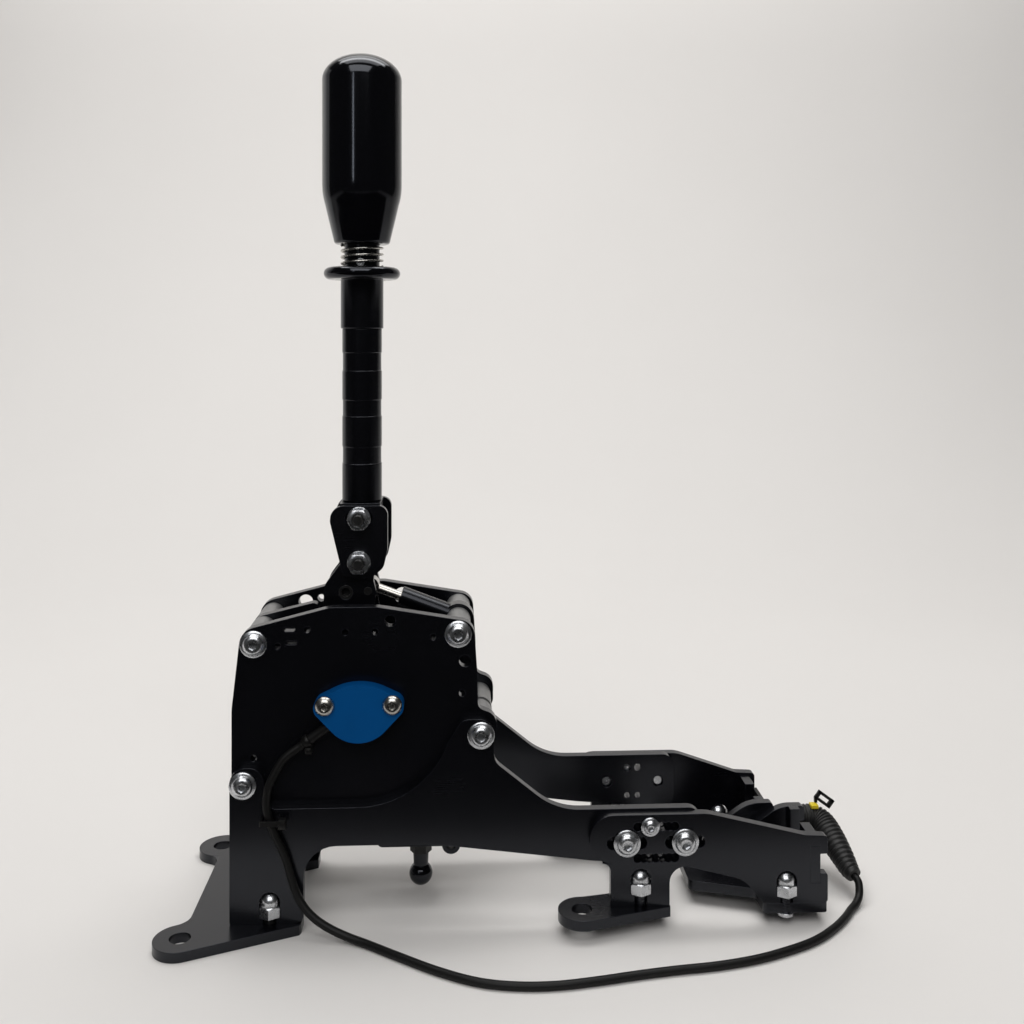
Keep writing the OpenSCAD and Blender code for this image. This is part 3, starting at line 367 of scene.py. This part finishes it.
def draw_ties(bm):
    grip = sleeve_end - 4.2 * sleeve_way
    turned(bm, [(2.5, 0), (3.1, 0), (3.28, 0.25), (3.28, 2.55), (3.1, 2.8), (2.5, 2.8), (2.5, 0)],
           grip, sleeve_way, 40)
    block(bm, grip + 1.4 * sleeve_way + Vector((0.9, -1.8, -3.9)), (3.4, 3.4, 3))
    block(bm, grip + 1.4 * sleeve_way + Vector((0.9, -3.5, -3.9)), (2, 0.5, 1.8), round_off=0.15)
    outer = rounded(tie_middle - tie_half, tie_front - tie_band, tie_middle + tie_half, arm_back + tie_band, 1.1)
    inner = rounded(tie_middle - tie_half + tie_band, tie_front, tie_middle + tie_half - tie_band, arm_back, 0.3)
    ring = [[bm.verts.new(mm * Vector((x, y, z))) for x, y in outline]
            for outline, z in [(outer, tie_low), (outer, tie_high), (inner, tie_high), (inner, tie_low)]]
    for k, loop in enumerate(ring):
        beside = ring[(k + 1) % 4]
        for i in range(len(loop)):
            n = (i + 1) % len(loop)
            bm.faces.new((loop[i], loop[n], beside[n], beside[i]))
    head = Vector((tie_middle + tie_half + 0.8, tie_front - 0.4, (tie_low + tie_high) / 2))
    block(bm, head, (3.9, 4.3, 4.7))
    block(bm, head + Vector((0, -1.9, 0)), (2.3, 0.6, 2.6), round_off=0.2)


piece("cable_ties_laced", "base", "plastic_black", ["cable_ties"], draw_ties)

# %% [markdown]
# ## Handle: tube, lift collar, spring and knob
#
# These are turned parts, so each is one profile taken round the handle's axis. The collar and
# the grooves of the tube get small rounded edges that catch a line of light. The spring is a
# round wire wound in a helix. When the collar is lifted, the wire squeezes together towards
# the knob.

# %% Handle tube
low, high = (Vector(corner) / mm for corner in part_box("handle_tube"))
handle_x = (low.x + high.x) / 2
tube_r, groove_r, guide_r, stem_r = 10.5, 10.2, 9.5, 9.3
sleeve_foot = 301.5
collar_low, collar_high = 327.6, 334
knob_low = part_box("knob")[0][2] / mm
knob_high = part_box("knob")[1][2] / mm


def draw_tube(bm):
    rings = [(0, low.z), (tube_r - 0.5, low.z), (tube_r, low.z + 0.5)]
    for start, end in [(230, 239), (255, 263.8), (279, 288.8)]:
        rings += [(tube_r, start - 0.25), (tube_r - 0.05, start), (groove_r, start + 0.2), (groove_r, end - 0.2),
                  (tube_r - 0.05, end), (tube_r, end + 0.25)]
    rings += [(tube_r, sleeve_foot - 0.4), (tube_r - 0.3, sleeve_foot - 0.05), (guide_r, sleeve_foot - 0.05),
              (guide_r, collar_high - 4.2), (stem_r, collar_high - 4),
              (stem_r, high.z - 0.5), (stem_r - 0.5, high.z), (0, high.z)]
    turned(bm, rings, (handle_x, 0, 0), (0, 0, 1), 96)


piece("grooved_tube", "handle", "tube_black", ["handle_tube"], draw_tube, crease=8)

# %% Lift collar
def draw_collar(bm):
    bore, sleeve_r, rim_r = 9.55, 11.3, 20.25
    middle = (collar_high + collar_low) / 2
    edge = (collar_high - collar_low) / 2
    rings = [(bore, sleeve_foot), (sleeve_r - 0.35, sleeve_foot), (sleeve_r, sleeve_foot + 0.35),
             (sleeve_r, collar_low - 0.6), (sleeve_r + 0.18, collar_low - 0.15), (sleeve_r + 0.6, collar_low)]
    for k in range(25):
        a = radians(-90 + 180 * k / 24)
        rings.append((rim_r - edge + edge * cos(a), middle + edge * sin(a)))
    rings += [(bore, collar_high), (bore, sleeve_foot)]
    turned(bm, rings, (handle_x, 0, 0), (0, 0, 1), 112)


piece("rounded_collar", "lift_collar", "gloss_black", ["collar"], draw_collar)

# %% Spring
coil_r, wire_r, coil_turns = 10.8, 0.65, 3.5
coil_steps, flat_end = 168, 0.42


def draw_spring(bm):
    rise = knob_low - collar_high - 2 * wire_r
    line = []
    for k in range(coil_steps + 1):
        a = 2 * pi * coil_turns * k / coil_steps
        t = max(0.0, min(1.0, (a - flat_end) / (2 * pi * coil_turns - 2 * flat_end)))
        line.append(mm * Vector((handle_x + coil_r * cos(a), coil_r * sin(a), collar_high + wire_r + rise * t)))
    swept(bm, line, [wire_r * mm] * len(line), 14)


spring = piece("wound_spring", "handle", "steel", ["spring"], draw_spring, crease=60)
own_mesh(spring)

# %% Knob
def draw_knob(bm):
    r, dome = 21.1, 14
    neck = r - 6.2
    tall = knob_high - knob_low
    rings = [(0, 1.2), (stem_r + 0.02, 1.2), (stem_r + 0.6, 0.0), (neck - 1.4, 0.0), (neck - 0.75, 0.22),
             (neck - 0.25, 0.75), (neck, 1.5), (r - 2.48, 17), (r - 1.8, 20), (r - 1.32, 21.8), (r - 0.9, 23.5),
             (r - 0.6, 25), (r - 0.35, 26.5), (r - 0.18, 28), (r - 0.08, 29.5), (r - 0.02, 31.2), (r, 33)]
    for k in range(33):
        a = radians(90 * k / 32)
        rings.append((r * cos(a) if k < 32 else 0, tall - dome + dome * sin(a)))
    turned(bm, rings, (handle_x, 0, knob_low), (0, 0, 1), 128)


piece("turned_knob", "handle", "gloss_black", ["knob"], draw_knob)

# %% Set screw on the collar, inside the spring
def draw_set_screw(bm):
    socket = hexagon(2)
    rings = [(0, 0.05), (2.2, 0.05), (2.2, 0.3), (1.95, 0.5), (socket, 0.5), (socket, 0.2), (0, 0.15)]
    turned(bm, rings, (handle_x, -stem_r, collar_high + 2.35), (0, -1, 0), 36)


piece("collar_set_screw", "lift_collar", "zinc", [], draw_set_screw)

# %% [markdown]
# ## Bolts and nuts
#
# The plates are held by flanged button heads with a hexagon socket, by hexagon nuts on washers,
# and by domed nuts on the feet. Each kind is drawn once and placed many times, so one change
# reaches all of them. The ends that pass through a nut carry a few turns of thread.

# %% Drawing the fasteners
def thread_end(start, end, r, pitch=1.0):
    """Rings of a threaded length that ends in a chamfer, for a bolt drawn head first."""
    rings = []
    h = start
    while h > end + pitch:
        rings += [(r, h), (r - 0.3, h - pitch / 2)]
        h -= pitch
    return rings + [(r, h), (r - 0.7, end), (0, end)]


def flanged_bolt(bm, place, axis, long, shank=3.0, threads=9):
    top = [(0, 1.25), (hexagon(4), 1.7), (hexagon(4), 3.42), (2.75, 3.55), (3.3, 3.5), (4, 3.22), (4.6, 2.75),
           (5, 2.1), (5.15, 1.6), (5.3, 1.3), (5.7, 1.12), (6.55, 1.0), (6.8, 0.75), (6.8, 0.2), (6.6, 0),
           (shank, 0)]
    turned(bm, top + thread_end(threads - long, -long, shank), place, axis, 48)


def small_bolt(bm, place, axis, long):
    top = [(0, 0.9), (hexagon(2.5), 1.2), (hexagon(2.5), 2.48), (1.75, 2.58), (2.3, 2.5), (2.9, 2.15), (3.2, 1.6),
           (3.35, 1.15), (3.8, 0.95), (4.5, 0.8), (4.7, 0.6), (4.7, 0.2), (4.55, 0), (2, 0)]
    turned(bm, top + thread_end(6 - long, -long, 2, 0.7), place, axis, 48)


def domed_screw(bm, place, axis, long):
    top = [(0, 1), (hexagon(3), 1.35), (hexagon(3), 2.98), (2.05, 3.08), (2.6, 2.98), (3.4, 2.62), (4.1, 2.05),
           (4.6, 1.4), (4.9, 0.75), (5, 0.4), (4.9, 0), (2, 0)]
    turned(bm, top + [(2, -long + 0.4), (1.6, -long), (0, -long)], place, axis, 48)


def washer_and_nut(bm, place, axis, bore=3.0):
    flat = hexagon(10)
    rim = lambda a: 6.6 - (flat(a) - 4.75) * tan(radians(30))
    turned(bm, [(bore, 0), (5.8, 0), (6, 0.2), (6, 1.35), (5.8, 1.55), (bore, 1.55), (bore, 0)], place, axis, 48)
    turned(bm, [(bore, 1.6), (4.7, 1.6), (flat, 1.75), (flat, rim), (4.7, 6.6), (bore + 0.45, 6.6), (bore, 6.15),
                (bore, 1.6)], place, axis, 48, pi / 6)


def domed_nut(bm, place, axis):
    flat = hexagon(10)
    rim = lambda a: 5.6 - (flat(a) - 4.75) * tan(radians(35))
    rings = [(3, 0.0), (4.7, 0), (flat, 0.15), (flat, rim), (4.8, 5.62), (4.72, 5.75), (4.72, 7.2)]
    for k in range(1, 13):
        a = radians(90 * k / 12)
        rings.append((4.72 * cos(a) if k < 12 else 0, 7.2 + 4.75 * sin(a)))
    turned(bm, rings, place, axis, 48, pi / 6)


print("five kinds of fasteners are ready")

# %% Placing the fasteners of the box and the brackets
near, far = (0, -1, 0), (0, 1, 0)
top_bolts = [(-121.85, 142.9), (-19.25, 146.7)]
low_bolts = [(-7.75, 97), (-126.25, 74)]
bracket_x, bracket_z = (65.2, 94.6), 43.5
index_at = (76.9, 51.5)
side_y, arm_y, bracket_y = 33, 38, 43


def draw_box_bolts(bm):
    for places, y in [(top_bolts, side_y), (low_bolts, arm_y)]:
        for x, z in places:
            flanged_bolt(bm, (x, -y, z), near, 2 * y + 8)


def draw_box_nuts(bm):
    for places, y in [(top_bolts, side_y), (low_bolts, arm_y)]:
        for x, z in places:
            washer_and_nut(bm, (x, y, z), far)


def draw_bracket_bolts(bm):
    for x in bracket_x:
        for way in (near, far):
            flanged_bolt(bm, (x, way[1] * bracket_y, bracket_z), way, bracket_y - side_y - 1.5, threads=6)


def draw_index_screws(bm):
    for way in (near, far):
        small_bolt(bm, (index_at[0], way[1] * bracket_y, index_at[1]), way, bracket_y - side_y - 1)


piece("box_bolts_socketed", "base", "zinc", ["box_bolts"], draw_box_bolts)
piece("box_nuts_on_washers", "base", "zinc", ["box_nuts"], draw_box_nuts)
piece("bracket_bolts_socketed", "base", "zinc", ["bracket_bolts"], draw_bracket_bolts)
piece("index_screws_socketed", "base", "zinc", ["index_screws"], draw_index_screws)

# %% Placing the domed nuts, the badge screws and the lever's bolts
lever_y = 18
pivot_low, pivot_up = 180.5, 203.2
foot_nuts_at = [(-113, -35.5, 8), (-113, 35.5, 8), (72.2, -40.5, 17.8), (72.2, 40.5, 17.8), (146.3, -40.5, 15),
                (130.8, 40.5, 15)]
foot_bolts_at = foot_nuts_at[2:]
foot_under = 6.5
badge_screws_at = [(-85.4, 114), (-52, 114)]
badge_face = 41.4


def draw_foot_nuts(bm):
    for place in foot_nuts_at:
        domed_nut(bm, place, (0, 0, 1))


def draw_foot_heads(bm):
    for x, y, z in foot_bolts_at:
        rings = [(0, 1.0), (hexagon(4), 1.2), (hexagon(4), 1.9), (3.7, 1.9), (4.0, 1.6), (4.0, 0.2), (3.8, 0),
                 (0, 0)]
        turned(bm, rings, (x, y, foot_under), (0, 0, -1), 48)


def draw_foot_bushes(bm):
    for x, y, z in foot_bolts_at:
        long = z - foot_under
        rings = [(0, 0), (2.9, 0), (3.05, 0.2)]
        for k in range(5):
            start = 0.6 + (long - 1.2) * k / 5
            rings += [(3.05, start), (2.95, start + 0.1), (2.95, start + 0.3), (3.05, start + 0.4)]
        turned(bm, rings + [(3.05, long), (0, long)], (x, y, foot_under), (0, 0, 1), 32)


def draw_badge_screws(bm):
    for x, z in badge_screws_at:
        domed_screw(bm, (x, -badge_face, z), near, 13.4)


def lever_bolt(z, lift):
    return lambda bm: flanged_bolt(bm, (handle_x, lever_y + lift, z), far, 2 * lever_y + 8 + lift)


def lever_nut(z, lift):
    return lambda bm: washer_and_nut(bm, (handle_x, -lever_y - lift, z), near)


piece("domed_foot_nuts", "base", "zinc", ["foot_nuts"], draw_foot_nuts)
piece("low_foot_heads", "base", "zinc", ["rear_bolts"], draw_foot_heads)
piece("foot_bolt_bushes", "base", "plate_black", [], draw_foot_bushes)
piece("badge_screws_socketed", "base", "steel", ["badge_screws"], draw_badge_screws)
piece("clevis_bolt_socketed", "lever", "black_steel", ["clevis_bolt"], lever_bolt(pivot_low, 0))
piece("clevis_nut_on_washer", "lever", "zinc", ["clevis_nut"], lever_nut(pivot_low, 0))
piece("clamp_bolt_socketed", "handle", "black_steel", ["clamp_bolt"], lever_bolt(pivot_up, 0.1))
piece("clamp_nut_on_washer", "handle", "zinc", ["clamp_nut"], lever_nut(pivot_up, 0.1))

# %% [markdown]
# ## Floor and light
#
# A sheet of pale paper runs under the part and up behind it in one soft bend, so that no
# line of a horizon shows. Most of the light falls from a broad lamp overhead, a little behind
# the part: it draws the pale top edges of the black plates. A tall slim window to the left
# of the camera gives the knob its one upright streak, and a pale wall on the left gives it a
# soft rim. Black paint shows what stands in front of it, so a dark card lies on the floor before
# the part, out of the picture, and the room on that side is dim. The card is seen only by
# reflections, not by the camera.

# %% Paper sweep
paper_near, paper_far, paper_top, paper_half = -1.6, 1.3, 2.4, 2.6
bend = 0.8
profile = [(paper_near, 0.0)]
for step in range(17):
    angle = step / 16 * pi / 2
    profile.append((paper_far - bend + bend * sin(angle), bend - bend * cos(angle)))
profile.append((paper_far, paper_top))
sweep = bmesh.new()
rows = [[sweep.verts.new((x, y, z)) for x in (-paper_half, paper_half)] for y, z in profile]
for below, above in zip(rows, rows[1:]):
    sweep.faces.new((below[0], below[1], above[1], above[0])).smooth = True
paper_mesh = bpy.data.meshes.new("paper")
sweep.to_mesh(paper_mesh)
sweep.free()
paper = bpy.data.objects.new("paper", paper_mesh)
scene.collection.objects.link(paper)
paper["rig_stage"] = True
print("paper:", len(paper_mesh.polygons), "strips")

# %% Dark card in front
# The card casts no shadow and sends no bounce light: it only darkens what glossy surfaces reflect, a painted dark
# reflection that stands for the dim room in front.
card_near, card_far = -1.5, -0.13
card_mesh = bpy.data.meshes.new("dark_card")
card_half, card_lift = 1.6, 0.003
corners = [(-card_half, card_near), (card_half, card_near), (card_half, card_far), (-card_half, card_far)]
card_mesh.from_pydata([(x, y, card_lift) for x, y in corners], [], [(0, 1, 2, 3)])
card = bpy.data.objects.new("dark_card", card_mesh)
scene.collection.objects.link(card)
card.visible_camera = False
card.visible_shadow = False
card.visible_diffuse = False
card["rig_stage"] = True
print("card:", round(card_far - card_near, 2), "m deep")

# %% Lamps and room
def lamp(name, place, target, size, watts, tint, shine=1.0):
    data = bpy.data.lights.new(name, "AREA")
    data.shape = "RECTANGLE"
    data.size, data.size_y = size
    data.energy = watts
    data.color = tint
    data.specular_factor = shine
    made = bpy.data.objects.new(name, data)
    made.location = place
    made.rotation_euler = (Vector(target) - Vector(place)).to_track_quat("-Z", "Y").to_euler()
    scene.collection.objects.link(made)
    print("lamp", name, watts, "W")


lamp("overhead", (0.0, 0.3, 1.75), (0, 0.1, 0), (1.7, 1.3), 14.5, (1, 0.99, 0.975))
lamp("front fill", (-0.1, -1.25, 1.45), (0, 0, 0.15), (1.6, 1.2), 17, (1, 0.99, 0.98), 0.0)
lamp("backdrop", (0.0, 0.35, 1.9), (0, 1.3, 0.7), (2.2, 0.5), 15, (1, 0.99, 0.975))
lamp("left wall", (-1.2, 0.75, 0.55), (-0.07, 0, 0.4), (1.0, 1.3), 1.6, (1, 0.99, 0.98))
lamp("slim window", (-0.626, -1.5, 0.7), (-0.07, 0, 0.42), (0.07, 0.35), 0.45, (0.92, 0.96, 1))
room = bpy.data.worlds.new("room")
room.use_nodes = True
room_tree = room.node_tree
sky = room_tree.nodes["Background"]
sky.inputs["Color"].default_value = (1, 0.985, 0.97, 1)
seen = room_tree.nodes.new("ShaderNodeLightPath").outputs["Is Camera Ray"]
level = room_tree.nodes.new("ShaderNodeMapRange")
dim_room, pale_room = 0.035, 0.75
level.inputs["To Min"].default_value = dim_room
level.inputs["To Max"].default_value = pale_room
room_tree.links.new(seen, level.inputs["Value"])
room_tree.links.new(level.outputs["Result"], sky.inputs["Strength"])
scene.world = room
scene.view_settings.view_transform = "Standard"

# %% [markdown]
# ## Writing shader maths as sums
#
# A finish is a small network of nodes. Drawing it by hand in code hides the sum behind the
# plumbing, so one class wraps a node's socket and lets Python's own signs make the Math nodes.
# Every other kind of node comes from a single method: its settings first, then its sockets.

# %% A socket that can be added and multiplied
class Wire:
    """One output socket of a finish, usable in sums."""

    def __init__(self, tree, socket=None):
        self.tree, self.socket = tree, socket

    def node(self, kind, settings=None, sockets=None, out=0):
        made = self.tree.nodes.new(kind)
        for key, value in (settings or {}).items():
            setattr(made, key, value)
        for key, value in (sockets or {}).items():
            if isinstance(value, Wire):
                self.tree.links.new(value.socket, made.inputs[key])
            else:
                made.inputs[key].default_value = value
        return Wire(self.tree, made.outputs[out])

    def sum(self, sign, first, second):
        return self.node("ShaderNodeMath", {"operation": sign}, {0: first, 1: second})

    def __add__(self, other):
        return self.sum("ADD", self, other)

    def __sub__(self, other):
        return self.sum("SUBTRACT", self, other)

    def __rsub__(self, other):
        return self.sum("SUBTRACT", other, self)

    def __mul__(self, other):
        return self.sum("MULTIPLY", self, other)

    def __pow__(self, other):
        return self.sum("POWER", self, other)

    __radd__ = __add__
    __rmul__ = __mul__


signs = ("__add__", "__sub__", "__mul__", "__pow__")
print("signs that make nodes:", [name for name in dir(Wire) if name in signs])

# %% [markdown]
# ## Finishes
#
# Every finish starts from the same bench: the place on the piece, in metres, a few noises read
# at that place, and a mask of the edges. The metals use the mask for wear at their edges; the
# black plate, tube and collar use it to paint their edges lighter, a painted highlight. The mask
# compares the true surface with one whose edges are rounded: where they differ there is an edge.
# The rounded surface also goes into the Normal socket, so cut plates catch a thin line of light as
# real ones do.

# %% Bench for a finish
class Bench:
    """A new material with the readings that most finishes share."""

    def __init__(self, name, edge_mm=0.5):
        self.material = bpy.data.materials.new(name)
        self.material.use_nodes = True
        tree = self.material.node_tree
        self.shader = tree.nodes["Principled BSDF"]
        self.pen = Wire(tree)
        self.place = self.pen.node("ShaderNodeTexCoord", out="Object")
        self.rounded = self.pen.node("ShaderNodeBevel", {"samples": 6}, {"Radius": edge_mm * mm})
        true = self.pen.node("ShaderNodeNewGeometry", out="Normal")
        same = self.pen.node("ShaderNodeVectorMath", {"operation": "DOT_PRODUCT"},
                             {0: self.rounded, 1: true}, "Value")
        # Edge mask: wear on the metals, a painted highlight on the black plate, tube and collar.
        self.edge = self.pen.node("ShaderNodeMapRange", None, {0: same, 1: 0.995, 2: 0.85, 3: 0.0, 4: 1.0})

    def noise(self, scale, detail=3.0, stretch=None):
        where = self.place
        if stretch:
            where = self.pen.node("ShaderNodeMapping", None, {"Vector": where, "Scale": stretch})
        return self.pen.node("ShaderNodeTexNoise", None, {"Vector": where, "Scale": scale, "Detail": detail})

    def mix(self, amount, first, second):
        return self.pen.node("ShaderNodeMix", {"data_type": "RGBA"}, {"Factor": amount, 6: first, 7: second}, 2)

    def bump(self, height, strength, depth_mm):
        return self.pen.node("ShaderNodeBump", None, {"Height": height, "Strength": strength,
                                                      "Distance": depth_mm * mm, "Normal": self.rounded})

    def set(self, **sockets):
        for key, value in sockets.items():
            plug = self.shader.inputs[key.replace("_", " ")]
            if isinstance(value, Wire):
                self.material.node_tree.links.new(value.socket, plug)
            else:
                plug.default_value = value
        print(self.material.name, "uses", len(self.material.node_tree.nodes), "nodes")
        return self.material


def grey(level, tint=(1.0, 1.0, 1.0)):
    return (*(level * t for t in tint), 1)


finishes = {}
black_cast = (0.95, 0.97, 1.45)
cool = (0.86, 0.9, 1, 1)

# %% [markdown]
# ### Satin black plate
#
# The plates are cut from sheet and anodised black. The coat is satin, with a fine grain, faint
# lines left by rolling along the length and cloudy handling marks that only change the gloss. The
# cut edges are painted lighter and made a little smoother: a painted highlight along each edge. A
# flat black would lose all of that under soft light.

# %% Plate
bench = Bench("satin black plate", 0.45)
rolled = bench.noise(1, 2, (35, 900, 1400))
cloud = bench.noise(26, 4)
grain = bench.noise(2300, 2)
# The edge mask paints every cut edge lighter: a painted highlight.
finishes["plate_black"] = bench.set(
    Base_Color=bench.mix(bench.edge * 0.55,
                         bench.mix(cloud, grey(0.0018, black_cast), grey(0.0026, black_cast)),
                         grey(0.02, black_cast)),
    Roughness=0.215 + 0.08 * cloud + 0.012 * rolled - 0.03 * bench.edge,
    Normal=bench.bump(grain, 0.2, 0.02),
    Specular_IOR_Level=0.5, Specular_Tint=cool)

# %% [markdown]
# ### Polished black knob and satin tube
#
# The knob, the collar and the ball are polished after turning: a deep black with a sharp
# reflection, broken by hairline scratches and a little dust that dulls the gloss. The tube and
# the sleeve of the collar are left satin, so their bump is a set of very fine rings.

# %% Knob and ball
bench = Bench("polished black", 0.3)
scratch = bench.noise(1, 3, (2600, 2600, 90))
dust = bench.noise(900, 2) ** 9
finishes["gloss_black"] = bench.set(
    Base_Color=bench.mix(dust * 2.5, grey(0.0015, black_cast), grey(0.012, black_cast)),
    Roughness=0.09 + 0.05 * scratch + 0.5 * dust,
    Normal=bench.bump(scratch, 0.05, 0.01),
    Specular_IOR_Level=0.5, Specular_Tint=cool)

# %% Collar, polished above and satin below
bench = Bench("satin sleeve under a polished collar", 0.3)
height = bench.pen.node("ShaderNodeSeparateXYZ", None, {0: bench.place}, "Z")
sleeve = bench.pen.node("ShaderNodeMapRange", None, {0: height, 1: (collar_low - 0.4) * mm, 2: collar_low * mm,
                                                    3: 1.0, 4: 0.0})
# The edge mask paints the collar's edges lighter: a painted highlight.
finishes["collar"] = bench.set(
    Base_Color=bench.mix(bench.edge * 0.5, grey(0.0016, black_cast), grey(0.015, black_cast)),
    Roughness=0.09 + 0.09 * sleeve + 0.04 * bench.noise(80, 3),
    Normal=bench.bump(bench.noise(1, 2, (20, 20, 5200)), 0.08, 0.01),
    Specular_IOR_Level=0.5, Specular_Tint=cool)

# %% Tube
bench = Bench("satin black tube", 0.3)
rings = bench.noise(1, 2, (20, 20, 5200))
cloud = bench.noise(60, 3)
# The edge mask paints the tube's edges lighter: a painted highlight.
finishes["tube_black"] = bench.set(
    Base_Color=bench.mix(bench.edge * 0.5, grey(0.0018, black_cast), grey(0.02, black_cast)),
    Roughness=0.15 + 0.07 * cloud + 0.04 * rings,
    Normal=bench.bump(rings, 0.12, 0.01),
    Specular_IOR_Level=0.4, Specular_Tint=cool)

# %% [markdown]
# ### Metals
#
# Zinc-plated bolts and nuts are bright but slightly milky, with a bluish cast from the bath.
# The spring, the axle and the badge screws are bare steel, warmer in colour. Black oxide on the
# lever's bolts is a thin dark skin that lets the metal show at its edges. The posts of the box are
# painted a pale grey, a painted sheen for the broad light that lies along them. The bushes are
# bronze and the hub is bare turned aluminium.

# %% Zinc, steel, black oxide, posts with painted sheen, bronze and aluminium
def metal(name, dark, light, rough, worn, metallic=1.0, grain_scale=1500):
    bench = Bench(name, 0.2)
    bath = bench.noise(420, 4)
    grain = bench.noise(grain_scale, 2)
    return bench.set(
        Base_Color=bench.mix(bench.edge * 0.6, bench.mix(bath, dark, light), worn),
        Roughness=rough + 0.16 * bath - 0.06 * bench.edge,
        Metallic=metallic,
        Normal=bench.bump(grain, 0.1, 0.012))


finishes["zinc"] = metal("zinc plate", (0.52, 0.54, 0.57, 1), (0.7, 0.71, 0.73, 1), 0.2, grey(0.82))
finishes["steel"] = metal("bright steel", (0.44, 0.43, 0.41, 1), (0.62, 0.6, 0.56, 1), 0.18, grey(0.75))
finishes["black_steel"] = metal("black oxide", grey(0.02), grey(0.04), 0.32, grey(0.16), 0.7)
# The posts' pale grey is a painted sheen: it stands for the broad light they reflect.
finishes["posts"] = metal("grey posts", grey(0.22), grey(0.32), 0.42, grey(0.5), 0.9)
finishes["bronze"] = metal("sintered bronze", (0.32, 0.2, 0.08, 1), (0.5, 0.34, 0.15, 1), 0.32,
                           (0.62, 0.45, 0.24, 1))
finishes["alu"] = metal("turned aluminium", grey(0.5), grey(0.66), 0.24, grey(0.8))

# %% [markdown]
# ### Plastics, rubber and the badge
#
# The cord's jacket and the boot are soft black plastic: dull, with a fine pebble and a dusty
# bloom. Ties and plug are harder and a little glossier. The badge is a thick blue plate with
# a satin face. The key is clear yellow, and the hidden board is green lacquer over copper.

# %% Soft and hard plastics
def plastic(name, dark, light, rough, pebble_scale, pebble, edge_mm=0.25, level=0.4):
    bench = Bench(name, edge_mm)
    bloom = bench.noise(75, 4)
    pebbles = bench.noise(pebble_scale, 2)
    return bench.set(
        Base_Color=bench.mix(bloom, dark, light),
        Roughness=rough + 0.14 * bloom - 0.05 * bench.edge,
        Normal=bench.bump(pebbles, pebble, 0.03),
        Specular_IOR_Level=level)


finishes["rubber_black"] = plastic("black jacket", grey(0.002), grey(0.004), 0.42, 2600, 0.3, level=0.25)
finishes["boot"] = plastic("grey boot rubber", grey(0.008), grey(0.014), 0.4, 2600, 0.3)
finishes["plastic_black"] = plastic("black moulding", grey(0.003), grey(0.005), 0.34, 3200, 0.2, level=0.25)
finishes["badge_blue"] = plastic("blue plate", (0.0002, 0.056, 0.195, 1), (0.0002, 0.066, 0.23, 1), 0.5, 2800,
                                 0.15, 0.5, 0.04)
finishes["ring_yellow"] = plastic("yellow key", (0.62, 0.46, 0.01, 1), (0.74, 0.57, 0.015, 1), 0.3, 3000, 0.1)
finishes["board"] = plastic("green board", (0.004, 0.06, 0.02, 1), (0.008, 0.1, 0.035, 1), 0.3, 900, 0.2)

# %% [markdown]
# ### Paper
#
# The floor is matt paper with hardly any structure. A faint cloudiness keeps it from looking
# like a painted wall. The card is the same kind of surface in black.

# %% Paper finish
bench = Bench("matt paper", 0.1)
cloud = bench.noise(2.2, 4)
fibre = bench.noise(700, 3)
finishes["paper"] = bench.set(
    Base_Color=bench.mix(cloud, (0.70, 0.685, 0.67, 1), (0.745, 0.73, 0.715, 1)),
    Roughness=0.85 + 0.1 * cloud,
    Normal=bench.bump(fibre, 0.05, 0.05),
    Specular_IOR_Level=0.2)
paper_mesh.materials.append(finishes["paper"])

bench = Bench("dark card", 0.1)
card_mesh.materials.append(bench.set(
    Base_Color=bench.mix(bench.noise(700, 3), grey(0.004), grey(0.007)),
    Roughness=0.9,
    Specular_IOR_Level=0.1))

# %% [markdown]
# ## Dressing
#
# Each solid carries the name of its finish in the imported record, and each new piece was given
# one when it was made, so handing out the finishes is one short loop. Four pieces differ: the
# boot's rubber is greyer than the cord's, the posts are painted paler than the tube as a painted
# sheen, the pins of the rocker are blackened, and the collar has a satin sleeve.

# %% Give every piece its finish
slot_of = {part["node"]: part["material_slot"] for part in frame["record"]["subparts"]}
odd_finish = {boot.name: "boot", "standoffs": "posts", "rocker_pins": "black_steel",
              "rounded_collar": "collar"}
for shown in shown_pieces():
    slot_name = odd_finish.get(shown.name) or shown.get("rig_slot") or slot_of[shown.name]
    shown.data.materials.clear()
    shown.data.materials.append(finishes[slot_name])
